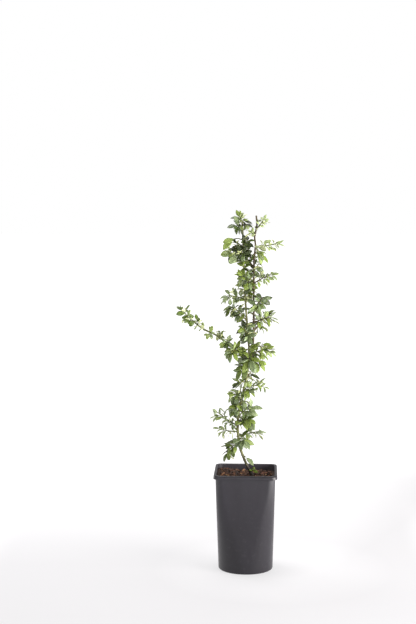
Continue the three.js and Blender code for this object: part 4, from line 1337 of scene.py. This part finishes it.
# Each face of a leaf: its lighter and darker green and its ribs', its roughness, how strongly the ribs
# show, and how many millimetres deep they are pressed in. The last face of an age is its underside.
LEAF_FINISHES = {
    "old": ("leaves_old", [
        # Partly painted shade: the deepest green darkens the dense clump, whose leaves lie in shade;
        # elsewhere it is a leaf's own dark tone.
        leaf_face("old_leaf_deep_green", 0x313c15, 0x242e10, 0x606e36, 0.4, 0.4, 0.14),
        leaf_face("old_leaf_dark_green", 0x5b6a2d, 0x435322, 0x919a5c, 0.38, 0.4, 0.14),
        # Partly painted sheen: this green is made paler and greyer to stand for the bluish gloss of shiny
        # leaves.
        leaf_face("old_leaf_blue_green", 0x7a885e, 0x5e6f4b, 0xabb689, 0.3, 0.4, 0.14),
        leaf_face("old_leaf_mid_green", 0x78883c, 0x5d6f2b, 0xa8b367, 0.36, 0.4, 0.14),
    ], leaf_face("old_leaf_underside", 0x9da274, 0x868d5b, 0xb8ba88, 0.68, 0.6, -0.2)),
    "mature": ("leaves_mature", [
        leaf_face("leaf_dark_green", 0x4d5e27, 0x38481a, 0x848e53, 0.38, 0.4, 0.12),
        leaf_face("leaf_mid_green", 0x7d8e3f, 0x64772f, 0xadb76a, 0.38, 0.35, 0.12),
        leaf_face("leaf_fresh_green", 0x86964d, 0x6f813c, 0xb2ba75, 0.38, 0.35, 0.12),
        # Partly painted sheen: this green is made paler and greyer to stand for the gloss of shiny leaves.
        leaf_face("leaf_grey_green", 0x8d9970, 0x708057, 0xb4ba8f, 0.3, 0.35, 0.12),
    # Partly painted light: this underside is paler than its own colour, as if lit through from behind.
    ], leaf_face("leaf_underside", 0xb5ba8c, 0xa1aa76, 0xcfd0a6, 0.66, 0.6, -0.18)),
    "young": ("leaves_young", [
        leaf_face("young_leaf_mid_green", 0x5a7022, 0x475a1b, 0x93a050, 0.42, 0.45, 0.12),
        leaf_face("young_leaf_yellow_green", 0x6d8228, 0x596d1f, 0xa2ad5a, 0.42, 0.45, 0.12),
        leaf_face("young_leaf_light_green", 0xa0ad7a, 0x899961, 0xc4ca98, 0.38, 0.45, 0.12),
    # Partly painted light: this underside is paler than its own colour, as if lit through from behind.
    ], leaf_face("young_leaf_underside", 0xc6cca0, 0xb3bb89, 0xd6d9b4, 0.62, 0.6, -0.15)),
}

make_pot()
make_compost()
make_chips()
make_limb("main_stem", "old_bark", OLD_BARK)
make_limb("right_leader", "young_bark", RUDDY_BARK)
make_limb("long_left_bough", "green_bark", GREEN_BARK)
for growth in DROOP:
    make_twigs(growth)
    make_leaves(growth)

# ---------------------------------------------------------------- floor, light and camera

CAMERA_PLACE = (0.04634, -2.6683, 0.7868)
CAMERA_PITCH = 4.904            # degrees down
CAMERA_TURN = 2.75              # degrees to the left
CAMERA_LENS = 72.115
SENSOR = 36

FLOOR_SIZE = 60
FLOOR_GLOW = 0.48               # how brightly the sheet glows under the pot, painted light
ROOM_LIGHT = 0.5

# Where the sheet glows more: from which distance to which, in metres, and the strength at each.
HAZE_GLOW = (0.0, 0.42, FLOOR_GLOW, FLOOR_GLOW + 0.13)      # back from the pot
BEHIND_GLOW = (0.42, 0.9, 0, 0.32)                          # further back
FAR_GLOW = (1.0, 2.4, 0, 0.5)                               # far out all round, where it is to be white
FOOT_GLOW = (0.09, 0.26, 0.11, 0)                           # in the pot's own soft shadow, painted light that lightens it
FOOT_GLOW_MIDDLE = (0.06, 0.0, 0.0)
RIGHT_GLOW = (0.36, 0.8, 0, 3.8)
LEFT_GLOW = (-0.52, -1.1, 0, 1.6)
FRONT_GLOW = (-0.36, -0.9, 0, 2.4)
SIDE_GLOWS_REACH = (0.7, 0.0)                               # they fade out towards the back
FRONT_GLOW_SIDE = (0.1, 0.5)                                # it lies in front on the right
HAZE_SLANTS_FROM, HAZE_SLANT = 0.2, -2.2                    # the haze begins further back on the right

# Each light: its place and what it is aimed at, its width and height, how many times brighter than
# white paper it is, and its colour.
LIGHTS = {
    "overhead_softbox": ((-0.2, 0.4, 2.4), (0, 0.1, 0.4), 1.4, 1.2, 7.2, 0xfffefa),
    "right_softbox": ((1.6, -0.85, 0.4), (0, 0, 0.1), 1.2, 0.8, 15.0, 0xfffcf8),
    "left_back_softbox": ((-1.2, 1.0, 0.5), (0, 0, 0.3), 0.6, 1.0, 4.0, 0xffffff),
}


def make_floor():
    """A pale sheet that glows by itself, though it is no lamp: painted light. It glows more behind and far
    out, so that it melts into the white room, round the pot's foot, where it lightens the pot's soft shadow,
    and out of view beside and before the pot, whose sides mirror it."""
    deselect_all()
    bpy.ops.mesh.primitive_plane_add(size=FLOOR_SIZE)
    sheet = bpy.context.object
    sheet.name = "studio_floor"
    material, tree, shader, place = new_material("white_acrylic_sheet_matt")
    away = add_node(tree, "ShaderNodeVectorMath", {"operation": "LENGTH"}, {0: place}).outputs["Value"]
    across, back, _ = add_node(tree, "ShaderNodeSeparateXYZ", (), {0: place}).outputs
    to_right = reckoned(tree, "MAXIMUM", reckoned(tree, "SUBTRACT", across, HAZE_SLANTS_FROM), 0)
    behind = reckoned(tree, "MULTIPLY_ADD", to_right, HAZE_SLANT, back)
    haze = stretched(tree, behind, *HAZE_GLOW)
    far = stretched(tree, away, *FAR_GLOW)
    white = reckoned(tree, "MAXIMUM", far, stretched(tree, behind, *BEHIND_GLOW))
    from_foot = {"operation": "DISTANCE", 1: FOOT_GLOW_MIDDLE}
    beside_pot = add_node(tree, "ShaderNodeVectorMath", from_foot, {0: place}).outputs["Value"]
    foot = stretched(tree, beside_pot, *FOOT_GLOW)
    near = stretched(tree, back, *SIDE_GLOWS_REACH, way="SMOOTHSTEP")
    right = reckoned(tree, "MULTIPLY", near, stretched(tree, across, *RIGHT_GLOW, "SMOOTHSTEP"))
    left = reckoned(tree, "MULTIPLY", near, stretched(tree, across, *LEFT_GLOW, "SMOOTHSTEP"))
    front = reckoned(tree, "MULTIPLY", stretched(tree, back, *FRONT_GLOW, "SMOOTHSTEP"),
                     stretched(tree, across, *FRONT_GLOW_SIDE))
    painted(tree, shader, blended(tree, noise(tree, place, 400, detail=2), 0x949296, 0x969498), 0.9)
    glow = haze
    for part in (white, foot, right, left, front):
        glow = reckoned(tree, "ADD", glow, part)
    # The sheet's glow is painted light, not a lamp.
    tree.links.new(glow, shader.inputs["Emission Strength"])
    shader.inputs["Emission Color"].default_value = linear(0xffffff)
    sheet.data.materials.append(material)


def make_light(name, place, aim, width, height, brightness, colour):
    """A flat softbox in the row's order of values."""
    deselect_all()
    bpy.ops.object.light_add(type="AREA", location=place)
    light = bpy.context.object
    light.name = name
    light.data.shape = "RECTANGLE"
    light.data.size, light.data.size_y = width, height
    light.data.energy = brightness * math.pi * width * height
    light.data.color = linear(colour)[:3]
    away = np.array(aim) - np.array(place)
    tip = math.atan2(math.hypot(*away[:2]), -away[2])
    light.rotation_euler = (tip, 0, math.atan2(away[1], away[0]) - math.pi / 2)


def make_camera():
    deselect_all()
    turn = (math.radians(90 - CAMERA_PITCH), 0, math.radians(CAMERA_TURN))
    bpy.ops.object.camera_add(location=CAMERA_PLACE, rotation=turn)
    camera = bpy.context.object
    camera.data.sensor_width = SENSOR
    camera.data.lens = CAMERA_LENS
    bpy.context.scene.camera = camera


def make_room():
    """A white room: what lies behind the plant is plain white, and the room's own light is softer."""
    world = bpy.data.worlds.new("studio_room")
    world.use_nodes = True
    tree = world.node_tree
    seen = add_node(tree, "ShaderNodeLightPath").outputs["Is Camera Ray"]
    background = tree.nodes["Background"]
    background.inputs["Color"].default_value = linear(0xffffff)
    tree.links.new(stretched(tree, seen, 0, 1, ROOM_LIGHT, 1.0), background.inputs["Strength"])
    bpy.context.scene.world = world


make_floor()
for name, light in LIGHTS.items():
    make_light(name, *light)
make_camera()
make_room()
bpy.context.scene.view_settings.view_transform = "Standard"
